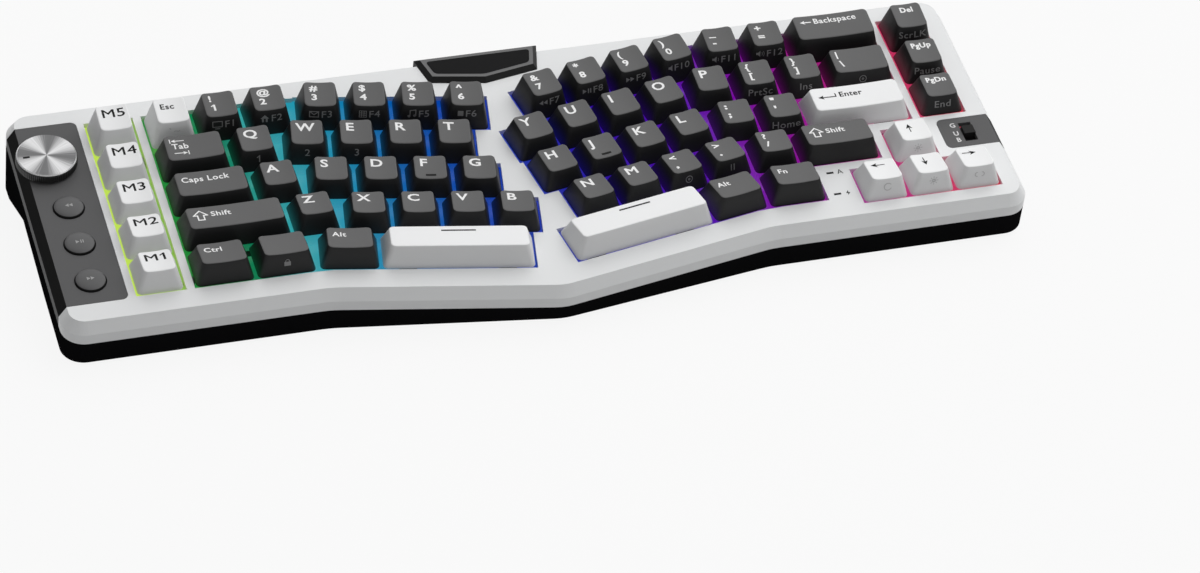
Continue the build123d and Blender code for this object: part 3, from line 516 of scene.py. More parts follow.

# Media strip and mode strip. Satin grey plastic mouldings let into the shell, with a bevel that
# wraps over the shell's edge and a lower band. The bevel is painted black as shade, and the band is painted
# grey as a highlight.
strip_grey = (0.12, 0.12, 0.122)
strip_bevel_shade = (0.004, 0.004, 0.004)
strip_top_from = 0.85
strip_band_below = 0.2
strip_finish = Finish("strip_finish", strip_grey, 0.5, specular=0.03).grain(0.0004, 0.00002)
strip_on_top = strip_finish.facing("Z") > strip_top_from
strip_upright = strip_finish.facing("Z") < strip_band_below
# Painted light and shade: the sloping bevel is black as shade, and the upright band is grey as a highlight
strip_shade_and_highlight = strip_finish.mix(strip_upright, strip_bevel_shade, strip_grey)
strip_finish.set(**{"Base Color": strip_finish.mix(strip_on_top, strip_shade_and_highlight, strip_grey)})
strip_finish.dress("media_panel", "slider_panel")
print_grey = ink("print_grey", (0.7, 0.7, 0.7))
mode_letters = (("G", 20.95), ("U", 16.3), ("B", 12.7))
mode_letters_x = 173.25
mode_letter_height = 2.4
mode_print = Build()
for letter, y in mode_letters:
    mode_print.add(centred(glyphs(letter, mode_letter_height, bold=0.08), mode_letters_x, y))
Build().add(mode_print, on_deck).piece("mode_print", [print_grey], "case", "black_panel", smooth=0)

# Badge tab. A plastic tab clipped over the shell's rear edge, with a grey frame on its flat top and
# a plain dark centre that is let into it. Its sloping sides are painted black as shade.
badge_x = -2.3
badge_corners = [(-25.2, 97.0), (-21.9, 83.9), (0, 79.9), (21.9, 83.9), (25.2, 97.0)]
badge_height = 2.0
badge_bevel = 1.6
badge_frame_width = 1.5
badge_centre_corner = 1.6
badge_centre_rise = 0.05


def drawn_in(corners, distance):
    """Corners of an anticlockwise outline with each of its sides moved in by a distance."""
    corners = [Vector(p) for p in corners]
    sides = []
    for start, end in zip(corners, corners[1:] + corners[:1]):
        run = (end - start).normalized()
        sides.append((start + Vector((-run.y, run.x)) * distance, run))
    inner = []
    for (p, u), (q, v) in zip(sides[-1:] + sides[:-1], sides):
        w = q - p
        inner.append(p + u * (w.x * v.y - w.y * v.x) / (u.x * v.y - u.y * v.x))
    return inner


def softened(corners, cut, steps=4):
    """The same corners, each turned into a short curve between points on its two sides."""
    curve = []
    for before, corner, after in zip(corners[-1:] + corners[:-1], corners, corners[1:] + corners[:1]):
        start = corner + (before - corner).normalized() * cut
        end = corner + (after - corner).normalized() * cut
        for step in range(steps + 1):
            t = step / steps
            curve.append(start.lerp(corner, t).lerp(corner.lerp(end, t), t))
    return curve


badge_grey = (0.13, 0.13, 0.132)
badge_side_shade = (0.008, 0.008, 0.008)
badge_top_from = 0.9
badge_finish = Finish("badge_finish", badge_grey, 0.45, specular=0.25).grain(0.0006, 0.00001)
# The sloping sides are painted black as shade; only the flat top shows the grey
badge_on_top = badge_finish.facing("Z") > badge_top_from
badge_finish.set(**{"Base Color": badge_finish.mix(badge_on_top, badge_side_shade, badge_grey)})
badge_finish.dress("badge_tab")
centre_gloss = Finish("centre_gloss", (0.011, 0.011, 0.0115), 0.5, specular=0.03).grain(0.001, 0.000005)
centre = softened(drawn_in(badge_corners, badge_bevel + badge_frame_width), badge_centre_corner)
on_badge = deck @ Matrix.Translation((badge_x, 0, badge_height + badge_centre_rise))
centre = Build().add(patch(centre), on_badge)
centre.piece("badge_centre", [centre_gloss], "case", "badge_plastic", smooth=0)

# Volume knob. Turned aluminium, spun on its top face, with a bright bevel, a knurled black
# rim and one black line that shows how far it has been turned.
knob_x = 11.15 - case_half
knob_y = 66.5
knob_radius = 11.85
knob_low = 0.8
knob_high = 4.8
knob_lip = 0.3
knob_bevel = 0.4
knob_bore_radius = 3.05
knob_bore_top = 4.0
knurl_count = 90
knurl_depth = 0.22
pointer_line = [(-8.6, 0), (-7.0, 0)]
pointer_width = 1.0


def circle(radius, height, count, dent=0.0):
    """Ring of points about the origin, every other one drawn in by a dent."""
    points = []
    for n in range(count):
        turn = 2 * math.pi * n / count
        reach = radius - (dent if n % 2 else 0)
        points.append((reach * math.cos(turn), reach * math.sin(turn), height))
    return points


# The knob's materials, in the order in which the piece is given them
spun, black, bright, printed = range(4)
# Each step up the knob's section: radius, height, knurl depth, and the material above it
knob_section = [
    (knob_bore_radius, knob_bore_top, 0, black),
    (knob_bore_radius, knob_low, 0, black),
    (knob_radius - 1.0, knob_low, 0, black),
    (knob_radius, knob_low + 0.3, knurl_depth, black),
    (knob_radius, knob_high - 1.0, knurl_depth, black),
    (knob_radius - knob_lip, knob_high - 0.75, 0, black),
    (knob_radius - knob_lip, knob_high - knob_bevel, 0, bright),
    (knob_radius - knob_lip - knob_bevel, knob_high, 0, spun),
    (knob_radius * 0.6, knob_high, 0, spun),
    (knob_radius * 0.3, knob_high, 0, spun),
]
knob = Build().stack(
    [circle(radius, height, 2 * knurl_count, dent) for radius, height, dent, kind in knob_section],
    [black] + [kind for radius, height, dent, kind in knob_section],
)
pointer = stroke(pointer_line, pointer_width)
knob.add(placed(pointer, z=knob_high + print_rise), kind=printed)

# The top face is turned in fine rings. Its colour is painted lighter and darker in a few broad rays and fine
# streaks round the middle: a painted reflection of the spun metal.
shine_painted_dark = (0.12, 0.12, 0.122)
shine_painted_bright = (0.6, 0.6, 0.605)
streak_count = 90.0
groove_pitch = 0.0004
groove_depth = 0.00002
ray_count = 4
ray_phase = -0.314
ray_share = 0.42
streak_share = 0.5
plain_share = 0.1
spun_metal = Finish("spun_metal", (0.6, 0.6, 0.61), 0.28, 1.0)
knob_axis = deck @ Vector((knob_x, knob_y, knob_high)) * MM
from_axis = spun_metal.node(
    "ShaderNodeMapping",
    {"vector_type": "TEXTURE"},
    {"Vector": spun_metal.point(), "Location": knob_axis, "Rotation": (typing_angle, 0, 0)},
)
turn_share = spun_metal.node(
    "ShaderNodeTexGradient",
    {"gradient_type": "RADIAL"},
    {"Vector": from_axis},
    output=1,
)
streaks = spun_metal.node(
    "ShaderNodeTexNoise",
    {"noise_dimensions": "1D"},
    {"W": turn_share, "Scale": streak_count},
)
# The Wave node's rings are pi / 10 / scale apart
grooves = spun_metal.node(
    "ShaderNodeTexWave",
    {"wave_type": "RINGS", "rings_direction": "Z"},
    {"Vector": from_axis, "Scale": math.pi / 10 / groove_pitch, "Distortion": 0.4},
    output=1,
)
turned_bump = {"Strength": 0.4, "Distance": groove_depth, "Height": grooves}
# Painted reflection: the rays and streaks make the metal's colour lighter and darker round the knob's middle
painted_rays = spun_metal.worked("SINE", turn_share * (2 * math.pi * ray_count) + ray_phase)
painted_shine = painted_rays * ray_share + streaks * streak_share + plain_share
spun_metal.set(**{
    "Base Color": spun_metal.mix(painted_shine, shine_painted_dark, shine_painted_bright),
    "Roughness": 0.3 + streaks * 0.2,
    "Normal": spun_metal.node("ShaderNodeBump", sockets=turned_bump),
})
bevel_metal = Finish("bevel_metal", (0.9, 0.9, 0.91), 0.3, 1.0).grain(0.0005, 0.000005)
knurl_black = Finish("knurl_black", (0.012, 0.012, 0.012), 0.35).grain(0.0005, 0.00001)
knob_finishes = [spun_metal, knurl_black, bevel_metal, print_black]
knob = Build().add(knob, deck @ Matrix.Translation((knob_x, knob_y, 0)))
knob.piece("turned_knob", knob_finishes, "volume_knob", "knob_metal", ["volume_knob"], smooth=25)

# Media buttons. Domed dark plastic discs, each with a flange that holds it under the strip
# and a stem, and a symbol printed on the crown.
button_x = 14.55 - case_half
button_section = [
    (1.75, -7.45), (1.75, -3.0), (6.7, -3.0), (6.7, -2.2), (5.8, -2.2), (5.8, 0.45),
    (5.65, 0.72), (5.3, 0.92), (4.6, 1.12), (3.4, 1.32), (2.0, 1.45), (0.8, 1.5),
]
button_sides = 64
button_print_height = 1.56
button_grey = (0.1, 0.1, 0.102)
button_flank_shade = (0.004, 0.004, 0.004)
button_crown_from = 0.72
to_left = patch([(-1.0, 0), (0.4, -0.85), (0.4, 0.85)])
to_right = placed(to_left, turn=180)
pause_bar = stroke([(0, -0.65), (0, 0.65)], 0.4)
rewind = in_row([to_left, to_left], 0.1)
play_pause = in_row([to_right, pause_bar, pause_bar], 0.4)
forward = in_row([to_right, to_right], 0.1)
media_buttons = (("previous", rewind, 41.3), ("play", play_pause, 21.4), ("next", forward, 1.5))
button_plastic = Finish("button_plastic", button_grey, 0.45, specular=0.25).grain(0.0006, 0.00003)
# The flank round each crown is painted black, as the shade in the gap round the button
button_crown = button_plastic.facing("Z") > button_crown_from
button_plastic.set(**{"Base Color": button_plastic.mix(button_crown, button_flank_shade, button_grey)})
button_ink = ink("button_ink", (0.32, 0.32, 0.32))
for name, symbol, y in media_buttons:
    button = Build().stack([circle(radius, height, button_sides) for radius, height in button_section])
    button.add(placed(centred(symbol), z=button_print_height), kind=1)
    button = Build().add(button, deck @ Matrix.Translation((button_x, y, 0)))
    body = name + "_button"
    button.piece(body + "_cap", [button_plastic, button_ink], body, "button_plastic", [body], smooth=40)

# Mode slider. A small black moulded nub that runs in a slot of the right strip, and holds
# the lever of a switch on the board.
slider_plastic = Finish("slider_plastic", (0.012, 0.012, 0.012), 0.5, specular=0.1).grain(0.0006, 0.00002)
slider_plastic.dress("mode_slider")

# Keycaps. Moulded caps, dark grey or white, each with a tapered skirt and a dished top that
# leans to suit its row, pushed on to a switch stem. Words and symbols are printed on them.
key_pitch = 19.05
cap_gap = 1.4
side_slope = 2.55
front_slope = 2.35
cap_wall = 1.2
roof = 1.5
skirt_drop = 0.6
dish_depth = 0.55
skirt_corner = 1.9
crown_corner = 1.9
crown_edge = 0.6
stem_width = 6.6
stem_depth = 4.4
stem_corner = 0.6
stem_drop = 6.75
widest_dished = 3
row_heights = {1: 11.08, 2: 8.95, 3: 7.9, 4: 8.1, 5: 8.0}
row_tilts = {1: 4.0, 2: 3.0, 3: 0.0, 4: -6.0, 5: -9.0}
home_row = 3
bottom_row = 5
field_left = 52.1 - case_half
# Where each straight block stands, from the key field's front left corner
straight_blocks = {
    "macro": (-22.45, 0),
    "left": (0, 0),
    "right": (12.76, 0.49),
    "navigation": (16.14, 0.49),
    "arrows": (26.3, -3.72),
}
# Each turned block's pivot, its turn in degrees, and the key pitches to the left of the pivot
turned_blocks = {"left hand": (96.17, 30.92, -10.0, 5), "right hand": (183.46, 31.77, 10.25, 9)}


def key_spot(block, row, along):
    """Place of a key's middle on the deck, this many key pitches along its row."""
    x = along * key_pitch
    y = (bottom_row - row) * key_pitch
    if block in straight_blocks:
        left, front = straight_blocks[block]
        return Matrix.Translation((field_left + left + x, front + y, 0))
    pivot_x, pivot_y, turn, pivot_along = turned_blocks[block]
    if row != bottom_row:
        x += (home_row - row) * key_pitch * math.tan(math.radians(turn))
    x -= pivot_along * key_pitch
    y -= (bottom_row - home_row) * key_pitch
    pivot = Matrix.Translation((field_left + pivot_x, pivot_y, 0))
    return pivot @ Matrix.Rotation(math.radians(turn), 4, "Z") @ Matrix.Translation((x, y, 0))


# A cap's plastics, in the order in which the piece is given them
on_skirt, on_crown, on_stem = range(3)


class Cap:
    """One keycap's form: its sizes, the height of its top, and the way down its front."""

    def __init__(self, share, row):
        self.width = share * key_pitch - cap_gap
        self.depth = key_pitch - cap_gap
        self.crown_width = self.width - 2 * side_slope
        self.crown_depth = self.depth - 2 * front_slope
        self.height = row_heights[row]
        self.lean = math.tan(math.radians(row_tilts[row]))
        self.dish = 0 if share > widest_dished else dish_depth
        self.side_steps = 6 if share < 2 else 14

    def top(self, x, y):
        """Height of the top surface above the deck."""
        across = min(1, abs(2 * x / self.crown_width))
        return self.height + y * self.lean - self.dish * (1 - across**2)

    def wall(self, share, inset=0):
        """Ring round the skirt at a share of the way from its rim to the crown."""
        width = self.width + (self.crown_width - self.width) * share - 2 * inset
        depth = self.depth + (self.crown_depth - self.depth) * share - 2 * inset
        corner = max(0.3, skirt_corner + (crown_corner - skirt_corner) * share - inset)
        ring = []
        for p in rounded(width, depth, corner, side_steps=self.side_steps):
            climb = self.top(p.x, p.y) - crown_edge + skirt_drop
            ring.append((p.x, p.y, climb * share - skirt_drop))
        return ring

    def edge(self, turn):
        """Ring in the rounded edge between the skirt and the crown."""
        inset = crown_edge * (1 - math.cos(turn))
        fall = crown_edge * (1 - math.sin(turn))
        width = self.crown_width - 2 * inset
        depth = self.crown_depth - 2 * inset
        ring = rounded(width, depth, crown_corner - inset, side_steps=self.side_steps)
        return [(p.x, p.y, self.top(p.x, p.y) - fall) for p in ring]

    def crown(self, scale):
        """Ring on the top surface, drawn in towards the middle."""
        width = self.crown_width - 2 * crown_edge
        depth = self.crown_depth - 2 * crown_edge
        ring = rounded(width, depth, crown_corner - crown_edge, side_steps=self.side_steps)
        ring = [p * scale for p in ring]
        return [(p.x, p.y, self.top(p.x, p.y)) for p in ring]

    def build(self):
        """The whole cap: its skirt inside and out, its rounded edge, its top and its stem."""
        inside = [self.wall(0.8, cap_wall), self.wall(0, cap_wall)]
        outside = [self.wall(0), self.wall(0.35), self.wall(0.7)]
        edges = [self.edge(math.radians(turn)) for turn in (20, 42, 64, 82)]
        crowns = [self.crown(scale) for scale in (1.0, 0.9, 0.75, 0.6, 0.45, 0.3, 0.15)]
        rings = inside + outside + edges + crowns
        skirt_bands = len(inside) + len(outside) + 2
        kinds = [on_skirt] * skirt_bands + [on_crown] * (len(rings) + 1 - skirt_bands)
        form = Build().stack(rings, kinds)
        post = rounded(stem_width, stem_depth, stem_corner, steps=2)
        stem = Build().stack([at_height(post, -stem_drop), at_height(post, self.height - roof)])
        return form.add(stem, kind=on_stem)

    def on_top(self, p):
        """Point of a flat mark, laid on the top surface."""
        return Vector((p.x, p.y, self.top(p.x, p.y) + print_rise + p.z))

    def on_front(self, p):
        """Point on the front of the skirt: p.y is measured up from the crown's edge."""
        crown = Vector((p.x, -self.crown_depth / 2, self.top(p.x, -self.crown_depth / 2) - crown_edge))
        rim = Vector((p.x, -self.depth / 2, -skirt_drop))
        fall = (rim - crown).normalized()
        out = Vector((0, fall.z, -fall.y))
        return crown - fall * p.y + out * (print_rise + p.z)


def joined(*forms):
    """Several forms as one."""
    whole = Build()
    for form in forms:
        whole.add(form)
    return whole


def arrow(length, head, width, turn=0, bar=False):
    """A thin arrow that points left, turned by degrees, with an optional stop bar at its tip."""
    tip = -length / 2
    barb = head * 1.05
    form = joined(
        stroke([(tip + barb * 0.6, 0), (length / 2, 0)], width),
        patch([(tip, 0), (tip + barb, -head / 2), (tip + barb * 0.75, 0), (tip + barb, head / 2)]),
    )
    if bar:
        form.add(stroke([(tip - width, -head / 2), (tip - width, head / 2)], width))
    return placed(form, turn=turn)


def shift_mark(size):
    """Outlined arrow that points up."""
    half = size / 2
    stem = size / 4.6
    outline = [(-half, 0), (0, half), (half, 0), (stem, 0), (stem, -half), (-stem, -half), (-stem, 0)]
    return stroke(outline, size * 0.1, closed=True)


def arc(radius, width, start=0, end=360, steps=20):
    """A ring or part of one about the origin, from one turn to another in degrees."""
    turns = [math.radians(start + (end - start) * n / steps) for n in range(steps + 1)]
    return stroke([(radius * math.cos(t), radius * math.sin(t)) for t in turns], width)


def speaker(waves):
    """A loudspeaker's horn with this many sound waves."""
    horn = patch([(-1.4, -0.4), (-0.8, -0.4), (0, -1.1), (0, 1.1), (-0.8, 0.4), (-1.4, 0.4)])
    return joined(horn, *[arc(0.7 + 0.6 * n, 0.22, -40, 40, 6) for n in range(waves)])


def oblong(left, front, right, rear):
    """A flat filled rectangle."""
    return patch([(left, front), (right, front), (right, rear), (left, rear)])


ray_line = stroke([(0.95, 0), (1.35, 0)], 0.25)
grid_lines = [stroke([(-1.1, y), (1.1, y)], 0.22) for y in (-1.1, -0.37, 0.37, 1.1)]
note_head = arc(0.22, 0.4, steps=8)
screen = stroke([(-1.5, -0.8), (1.5, -0.8), (1.5, 1.1), (-1.5, 1.1)], 0.26, closed=True)
envelope = stroke([(-1.4, -0.9), (1.4, -0.9), (1.4, 1.0), (-1.4, 1.0)], 0.3, closed=True)
key_icons = {
    "screen": joined(screen, stroke([(-0.7, -1.4), (0.7, -1.4)], 0.26)),
    "house": joined(
        patch([(-1.4, 0), (1.4, 0), (0, 1.3)]),
        oblong(-0.9, -1.2, -0.3, 0),
        oblong(0.3, -1.2, 0.9, 0),
    ),
    "letter": joined(envelope, stroke([(-1.4, 1.0), (0, -0.1), (1.4, 1.0)], 0.3)),
    "sheet": joined(*grid_lines, *[placed(line, turn=90) for line in grid_lines]),
    "note": joined(
        stroke([(-0.8, -0.9), (-0.8, 1.1), (1.0, 1.4), (1.0, -0.6)], 0.28),
        placed(note_head, -1.1, -0.9),
        placed(note_head, 0.7, -0.6),
    ),
    "stop": oblong(-0.9, -0.9, 0.9, 0.9),
    "rewind": rewind,
    "play": play_pause,
    "forward": forward,
    "mute": speaker(0),
    "quiet": speaker(1),
    "loud": speaker(2),
    "lock": joined(oblong(-1.0, -1.3, 1.0, 0.1), placed(arc(0.6, 0.3, 0, 180, 10), 0, 0.2)),
    "sun": joined(arc(0.45, 0.3, steps=12), *[placed(ray_line, turn=45 * n) for n in range(8)]),
    "dial": joined(arc(1.1, 0.25), arc(0.25, 0.3, steps=8)),
    "bars": joined(oblong(-0.65, -1.1, -0.35, 1.1), oblong(0.35, -1.1, 0.65, 1.1)),
    "loop": arc(1.2, 0.3, 40, 330),
    "link": joined(placed(arc(0.7, 0.3, 90, 270, 8), -0.8), placed(arc(0.7, 0.3, -90, 90, 8), 0.8)),
}
letter_height = 4.2
digit_height = 3.2
word_height = 2.8
front_height = 2.9
left_margin = 2.2
rear_margin = 1.8
icon_scale = 1.25
front_middle = 3.1
front_gap = 1.0
bold = 0.14
word_bold = 0.08
dot_bold = 0.26
macro_bold = 0.06
front_bold = 0.03
wide = 1.2
word_wide = 1.05
macro_wide = 1.25
front_wide = 1.1
macro_gap = 0.9
arrow_turns = {"arrow left": 0, "arrow down": 90, "arrow right": 180, "arrow up": 270}


def word(text, x, y, height=word_height):
    """A word or one sign, its left end and foot at a point. Small signs are the boldest."""
    if text == "|":
        return stroke([(x + 0.3, y), (x + 0.3, y + height)], 0.65)
    if text in ".,:;'\"":
        return placed(glyphs(text, height, dot_bold, wide), x, y)
    if len(text) > 1:
        return placed(glyphs(text, height, word_bold, word_wide), x, y)
    return placed(glyphs(text, height, bold, wide), x, y)


def top_marks(text, cap):
    """The marks on a key's top, laid out flat about its middle."""
    left = left_margin - cap.crown_width / 2
    rear = cap.crown_depth / 2 - rear_margin
    if text == "space":
        return stroke([(-6.2, rear - 1.2), (6.2, rear - 1.2)], 0.8)
    if text in arrow_turns:
        upright = text in ("arrow up", "arrow down")
        pointer = arrow(4.7 if upright else 5.6, 2.6, 0.4, arrow_turns[text])
        return placed(pointer, -1.2, 1.4 if upright else 2.9)
    if text == "Tab":
        return joined(
            placed(arrow(5.0, 1.7, 0.4, bar=True), left + 3.0, 3.6),
            word(text, left + 0.4, -0.6),
            placed(arrow(5.0, 1.7, 0.4, turn=180, bar=True), left + 3.4, -2.8),
        )
    if text == "Shift":
        return joined(placed(shift_mark(5.4), left + 3.0, 1.2), word(text, left + 7.0, 0.2))
    if text == "Enter":
        bend = stroke([(-3.0, 0), (3.2, 0), (3.2, 1.6)], 0.45)
        head = patch([(-4.2, 0), (-1.8, -1.1), (-2.3, 0), (-1.8, 1.1)])
        return joined(placed(joined(bend, head), left + 4.6, 0.8), word(text, left + 9.2, 0.3))
    if text == "Backspace":
        return joined(placed(arrow(4.4, 2.0, 0.55), left + 2.6, 2.7), word(text, left + 6.0, 1.6))
    if text[0] == "M" and text[1:].isdigit():
        signs = [glyphs(mark, letter_height, macro_bold, macro_wide) for mark in text]
        return placed(in_row(signs, macro_gap), left, 0.2)
    if text in ("Del", "PgUp", "PgDn"):
        return centred(glyphs(text, word_height, bold, 1.0), y=1.6)
    if len(text) == 1:
        return word(text, left, rear - letter_height, letter_height)
    if len(text) == 3 and text[1] == " ":
        under_rear = rear - 2 * digit_height - 1.5
        return joined(
            word(text[0], left + 0.2, rear - digit_height, digit_height),
            word(text[2], left + 0.6, under_rear, digit_height),
        )
    return word(text, left, 0.7)


def front_marks(text):
    """The small icon and word on a key's front, centred below the crown's edge."""
    parts = []
    for mark in text.split():
        if mark in key_icons:
            parts.append(placed(key_icons[mark], scale=icon_scale))
        else:
            sign = glyphs(mark, front_height, front_bold, front_wide)
            parts.append(placed(sign, y=-front_height / 2))
    return centred(in_row(parts, front_gap), y=-front_middle)


def alike(node, *marks):
    """Caps of one node, each a key pitch wide, with what is printed on their tops and fronts."""
    return [(node, 1, top, front) for top, front in marks]


def letters(node, signs):
    """Caps of one node with a bare front."""
    return alike(node, *[(sign, "") for sign in signs])


# Each run of keys: row, block, where it starts, then its keys as node, width, top and front
key_runs = [(row, "macro", 0, [(f"key_m{6 - row}", 1, f"M{6 - row}", "")]) for row in range(1, 6)]
key_runs += [
    (1, "left", 0, [("key_escape", 1, "Esc", "` ~"),
                    *alike("keys_left_number_row", ("! 1", "screen F1"), ("@ 2", "house F2"))]),
    (1, "left hand", 3, alike("keys_left_number_row", ("# 3", "letter F3"), ("$ 4", "sheet F4"),
                              ("% 5", "note F5"), ("^ 6", "stop F6"))),
    (1, "right hand", 7, alike("keys_right_number_row", ("& 7", "rewind F7"), ("* 8", "play F8"),
                               ("( 9", "forward F9"), (") 0", "mute F10"))),
    (1, "right", 11, [*alike("keys_right_number_row", ("_ -", "quiet F11"), ("+ =", "loud F12")),
                      ("key_backspace", 2, "Backspace", "")]),
    (1, "navigation", 15, [("key_delete", 1, "Del", "ScrLK")]),
    (2, "left", 0, [("key_tab", 1.5, "Tab", ""), *alike("keys_left_upper_row", ("Q", "1"))]),
    (2, "left hand", 2.5, alike("keys_left_upper_row", ("W", "2"), ("E", "3"), ("R", ""), ("T", ""))),
    (2, "right hand", 6.5, letters("keys_right_upper_row", "YUIO")),
    (2, "right", 10.5, [*alike("keys_right_upper_row", ("P", ""), ("{ [", "PrtSc"), ("} ]", "Ins")),
                        ("key_backslash", 1.5, "| \\", "dial")]),
    (2, "navigation", 15, [("key_page_up", 1, "PgUp", "Pause")]),
    (3, "left", 0, [("key_caps_lock", 1.75, "Caps Lock", ""), *letters("keys_left_home_row", "A")]),
    (3, "left hand", 2.75, letters("keys_left_home_row", "SDFG")),
    (3, "right hand", 6.75, letters("keys_right_home_row", "HJKL")),
    (3, "right", 10.75, [*alike("keys_right_home_row", (": ;", ""), ("\" '", "Home")),
                         ("key_enter", 2.25, "Enter", "")]),
    (3, "navigation", 15, [("key_page_down", 1, "PgDn", "End")]),
    (4, "left", 0, [("key_left_shift", 2.25, "Shift", ""), *letters("keys_left_lower_row", "Z")]),
    (4, "left hand", 3.25, letters("keys_left_lower_row", "XCVB")),
    (4, "right hand", 7.25, alike("keys_right_lower_row", ("N", ""), ("M", ""), ("< ,", "dial"),
                                  ("> .", "bars"))),
    (4, "right", 11.25, [*letters("keys_right_lower_row", ["? /"]), ("key_right_shift", 1.75, "Shift", "")]),
    (4, "arrows", 13.5, [("key_up", 1, "arrow up", "sun")]),
    (5, "left", 0, [("key_left_control", 1.25, "Ctrl", ""), ("key_system", 1.25, "", "lock")]),
    (5, "left hand", 2.855, [("key_left_alt", 1.25, "Alt", ""), ("key_left_space", 3.12, "space", "")]),
    (5, "right hand", 6.53, [("key_right_space", 3.12, "space", ""), ("key_right_alt", 1.25, "Alt", "")]),
    (5, "right", 11.265, [("key_fn", 1.25, "Fn", "")]),
    (5, "arrows", 12.5, [("key_left", 1, "arrow left", "loop"), ("key_down", 1, "arrow down", "sun"),
                         ("key_right", 1, "arrow right", "link")]),
]
light_keys = {"key_m5", "key_m4", "key_m3", "key_m2", "key_m1", "key_escape", "key_enter", "key_up",
              "key_left", "key_down", "key_right", "key_left_space", "key_right_space"}
finger_ridge = stroke([(-1.5, 0), (1.5, 0)], 1.0)
ridge_from_edge = 2.2

# Each crown gets a lighter copy of its cap's plastic: painted sheen and light on the top, as the skirt and
# crown are one plastic
cap_dark = Finish("cap_dark", (0.012, 0.012, 0.0125), 0.5, specular=0.3).grain(0.0003, 0.00002)
cap_dark_sheen_top = Finish("cap_dark_sheen_top", (0.104, 0.104, 0.105), 0.55, specular=0.3).grain(0.0003, 0.00002)
cap_light = Finish("cap_light", (0.71, 0.715, 0.72), 0.5).grain(0.0003, 0.00002)
cap_light_sheen_top = Finish("cap_light_sheen_top", (0.83, 0.835, 0.84), 0.5).grain(0.0003, 0.00002)
stem_plastic = Finish("stem_plastic", (0.3, 0.3, 0.3), 0.4).grain(0.001, 0.00002)
print_white = ink("print_white", (0.82, 0.82, 0.82))
print_dim = ink("print_dim", (0.2, 0.2, 0.202))
print_pale = ink("print_pale", (0.52, 0.52, 0.525))

# The lights under the plate also wash up the left and right sides of the dark caps
wash_reach = 0.0075
wash_strength = 0.14
rise = cap_dark.along("Z") - deck_height * MM
run = cap_dark.along("Y") - deck_y * MM
above_deck = rise * math.cos(typing_angle) - run * math.sin(typing_angle)
fade = cap_dark.worked("MAXIMUM", 1 - above_deck / wash_reach, 0.0)
sideways = cap_dark.facing("X")
wash = fade * fade * sideways * sideways
cap_dark.lit(cap_dark.mix(wash, (0, 0, 0), glow_hue(cap_dark)), wash_strength)

# The prints' kinds: the top's ink, the front's ink, and the ridge on F and J
top_ink, front_ink, ridge = range(3)
cap_forms = {}
key_caps = {}
key_prints = {}
for row, place_block, start, members in key_runs:
    along = start
    for node, share, text, front in members:
        place = deck @ key_spot(place_block, row, along + share / 2)
        along += share
        cap = Cap(share, row)
        if (share, row) not in cap_forms:
            cap_forms[share, row] = cap.build()
        key_caps.setdefault(node, Build()).add(cap_forms[share, row], place)
        marks = []
        if text:
            marks.append((top_marks(text, cap), cap.on_top, top_ink))
        if text in ("F", "J"):
            at_edge = placed(finger_ridge, 0, ridge_from_edge - cap.crown_depth / 2)
            marks.append((at_edge, cap.on_top, ridge))
        if front:
            marks.append((front_marks(front), cap.on_front, front_ink))
        for form, wrap, kind in marks:
            laid = Build().add(form, kind=kind)
            laid.points = [wrap(p) for p in laid.points]
            key_prints.setdefault(node, Build()).add(laid, place)

for node, form in key_caps.items():
    light = node in light_keys
    slot = "light_keycap" if light else "dark_keycap"
    plastics = [cap_light, cap_light_sheen_top] if light else [cap_dark, cap_dark_sheen_top]
    form.piece(node + "_caps", plastics + [stem_plastic], node, slot, [node])
    if node in key_prints:
        inks = [print_black, print_pale, print_black] if light else [print_white, print_dim, print_black]
        key_prints[node].piece(node + "_print", inks, node, slot, smooth=0)

# Studio. A pale paper floor and an even surround, which both look white to the camera, and
# two large soft panels above and behind. The floor keeps the keyboard's soft shadow.
floor_reach = 4.0
floor_white_share = 0.9
floor_mesh = bpy.data.meshes.new("floor")
floor_corners = [(x * floor_reach, y * floor_reach, 0) for x, y in ((-1, -1), (1, -1), (1, 1), (-1, 1))]
floor_mesh.from_pydata(floor_corners, [], [(0, 1, 2, 3)])
floor = bpy.data.objects.new("floor", floor_mesh)
bpy.context.scene.collection.objects.link(floor)
floor_paper = Finish("floor_paper", (0.55, 0.55, 0.55), 0.9)
seen = (
    floor_paper.node("ShaderNodeLightPath", output="Is Camera Ray")
    + floor_paper.node("ShaderNodeLightPath", output="Is Glossy Ray")
    + floor_paper.node("ShaderNodeLightPath", output="Is Transmission Ray")
)
white_light = floor_paper.node("ShaderNodeEmission", sockets={"Color": (1, 1, 1, 1), "Strength": 1.0})
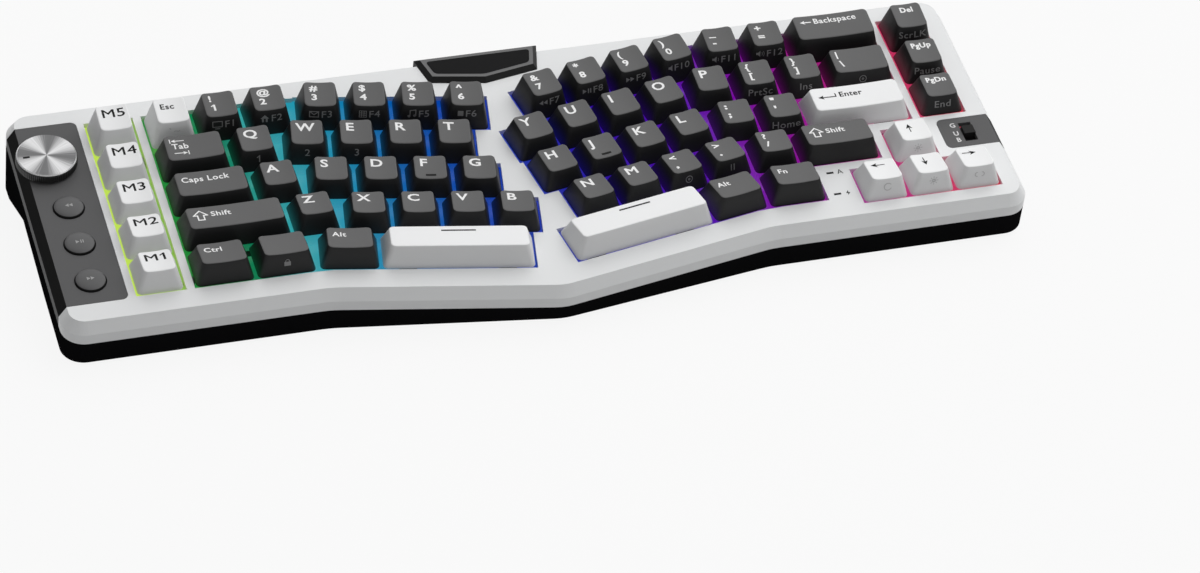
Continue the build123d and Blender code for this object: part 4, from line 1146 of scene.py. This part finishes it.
lit_paper = Wire(floor_paper, floor_paper.shader.outputs[0])
paper_mix = floor_paper.node(
    "ShaderNodeMixShader",
    sockets={0: seen * floor_white_share, 1: lit_paper, 2: white_light},
)
floor_paper.fill(floor_paper.tree.nodes["Material Output"], {"Surface": paper_mix})
floor_mesh.materials.append(floor_paper.material)

world = bpy.data.worlds.new("studio")
bpy.context.scene.world = world
world.use_nodes = True
surround = Nodes(world.node_tree)
surround_level = 0.36
seen = (
    surround.node("ShaderNodeLightPath", output="Is Camera Ray")
    + surround.node("ShaderNodeLightPath", output="Is Transmission Ray")
)
surround_strength = surround_level + seen * (1 - surround_level)
surround.fill(surround.tree.nodes["Background"], {"Color": (1, 1, 1, 1), "Strength": surround_strength})


def soft_panel(name, place, size, power):
    """A large rectangular lamp that faces the keyboard."""
    lamp = bpy.data.lights.new(name, "AREA")
    lamp.shape = "RECTANGLE"
    lamp.size, lamp.size_y = size
    lamp.energy = power
    holder = bpy.data.objects.new(name, lamp)
    bpy.context.scene.collection.objects.link(holder)
    holder.location = place
    holder.rotation_euler = (-Vector(place)).to_track_quat("-Z", "Y").to_euler()


soft_panel("rear_panel", (0.65, 0.95, 1.2), (2.6, 1.7), 20)
soft_panel("top_panel", (0.6, -0.2, 1.3), (1.2, 1.2), 7)

# Camera. It stands in front of the keyboard, to the left and above, and has a long lens and
# a slight roll, as a product picture has.
camera = bpy.data.cameras.new("camera")
camera.sensor_width = 36
camera.lens = 146.72
camera.clip_end = 50
camera_right = Vector((0.95626, -0.28638, 0.059617))
camera_up = Vector((0.134487, 0.611404, 0.779806))
camera_back = Vector((-0.259771, -0.73768, 0.623176))
camera_turn = Matrix((camera_right, camera_up, camera_back)).transposed().to_4x4()
camera_place = Matrix.Translation((-0.469735, -1.433769, 1.171582))
view = bpy.data.objects.new("camera", camera)
bpy.context.scene.collection.objects.link(view)
view.matrix_world = camera_place @ camera_turn
bpy.context.scene.camera = view
bpy.context.scene.view_settings.view_transform = "Standard"
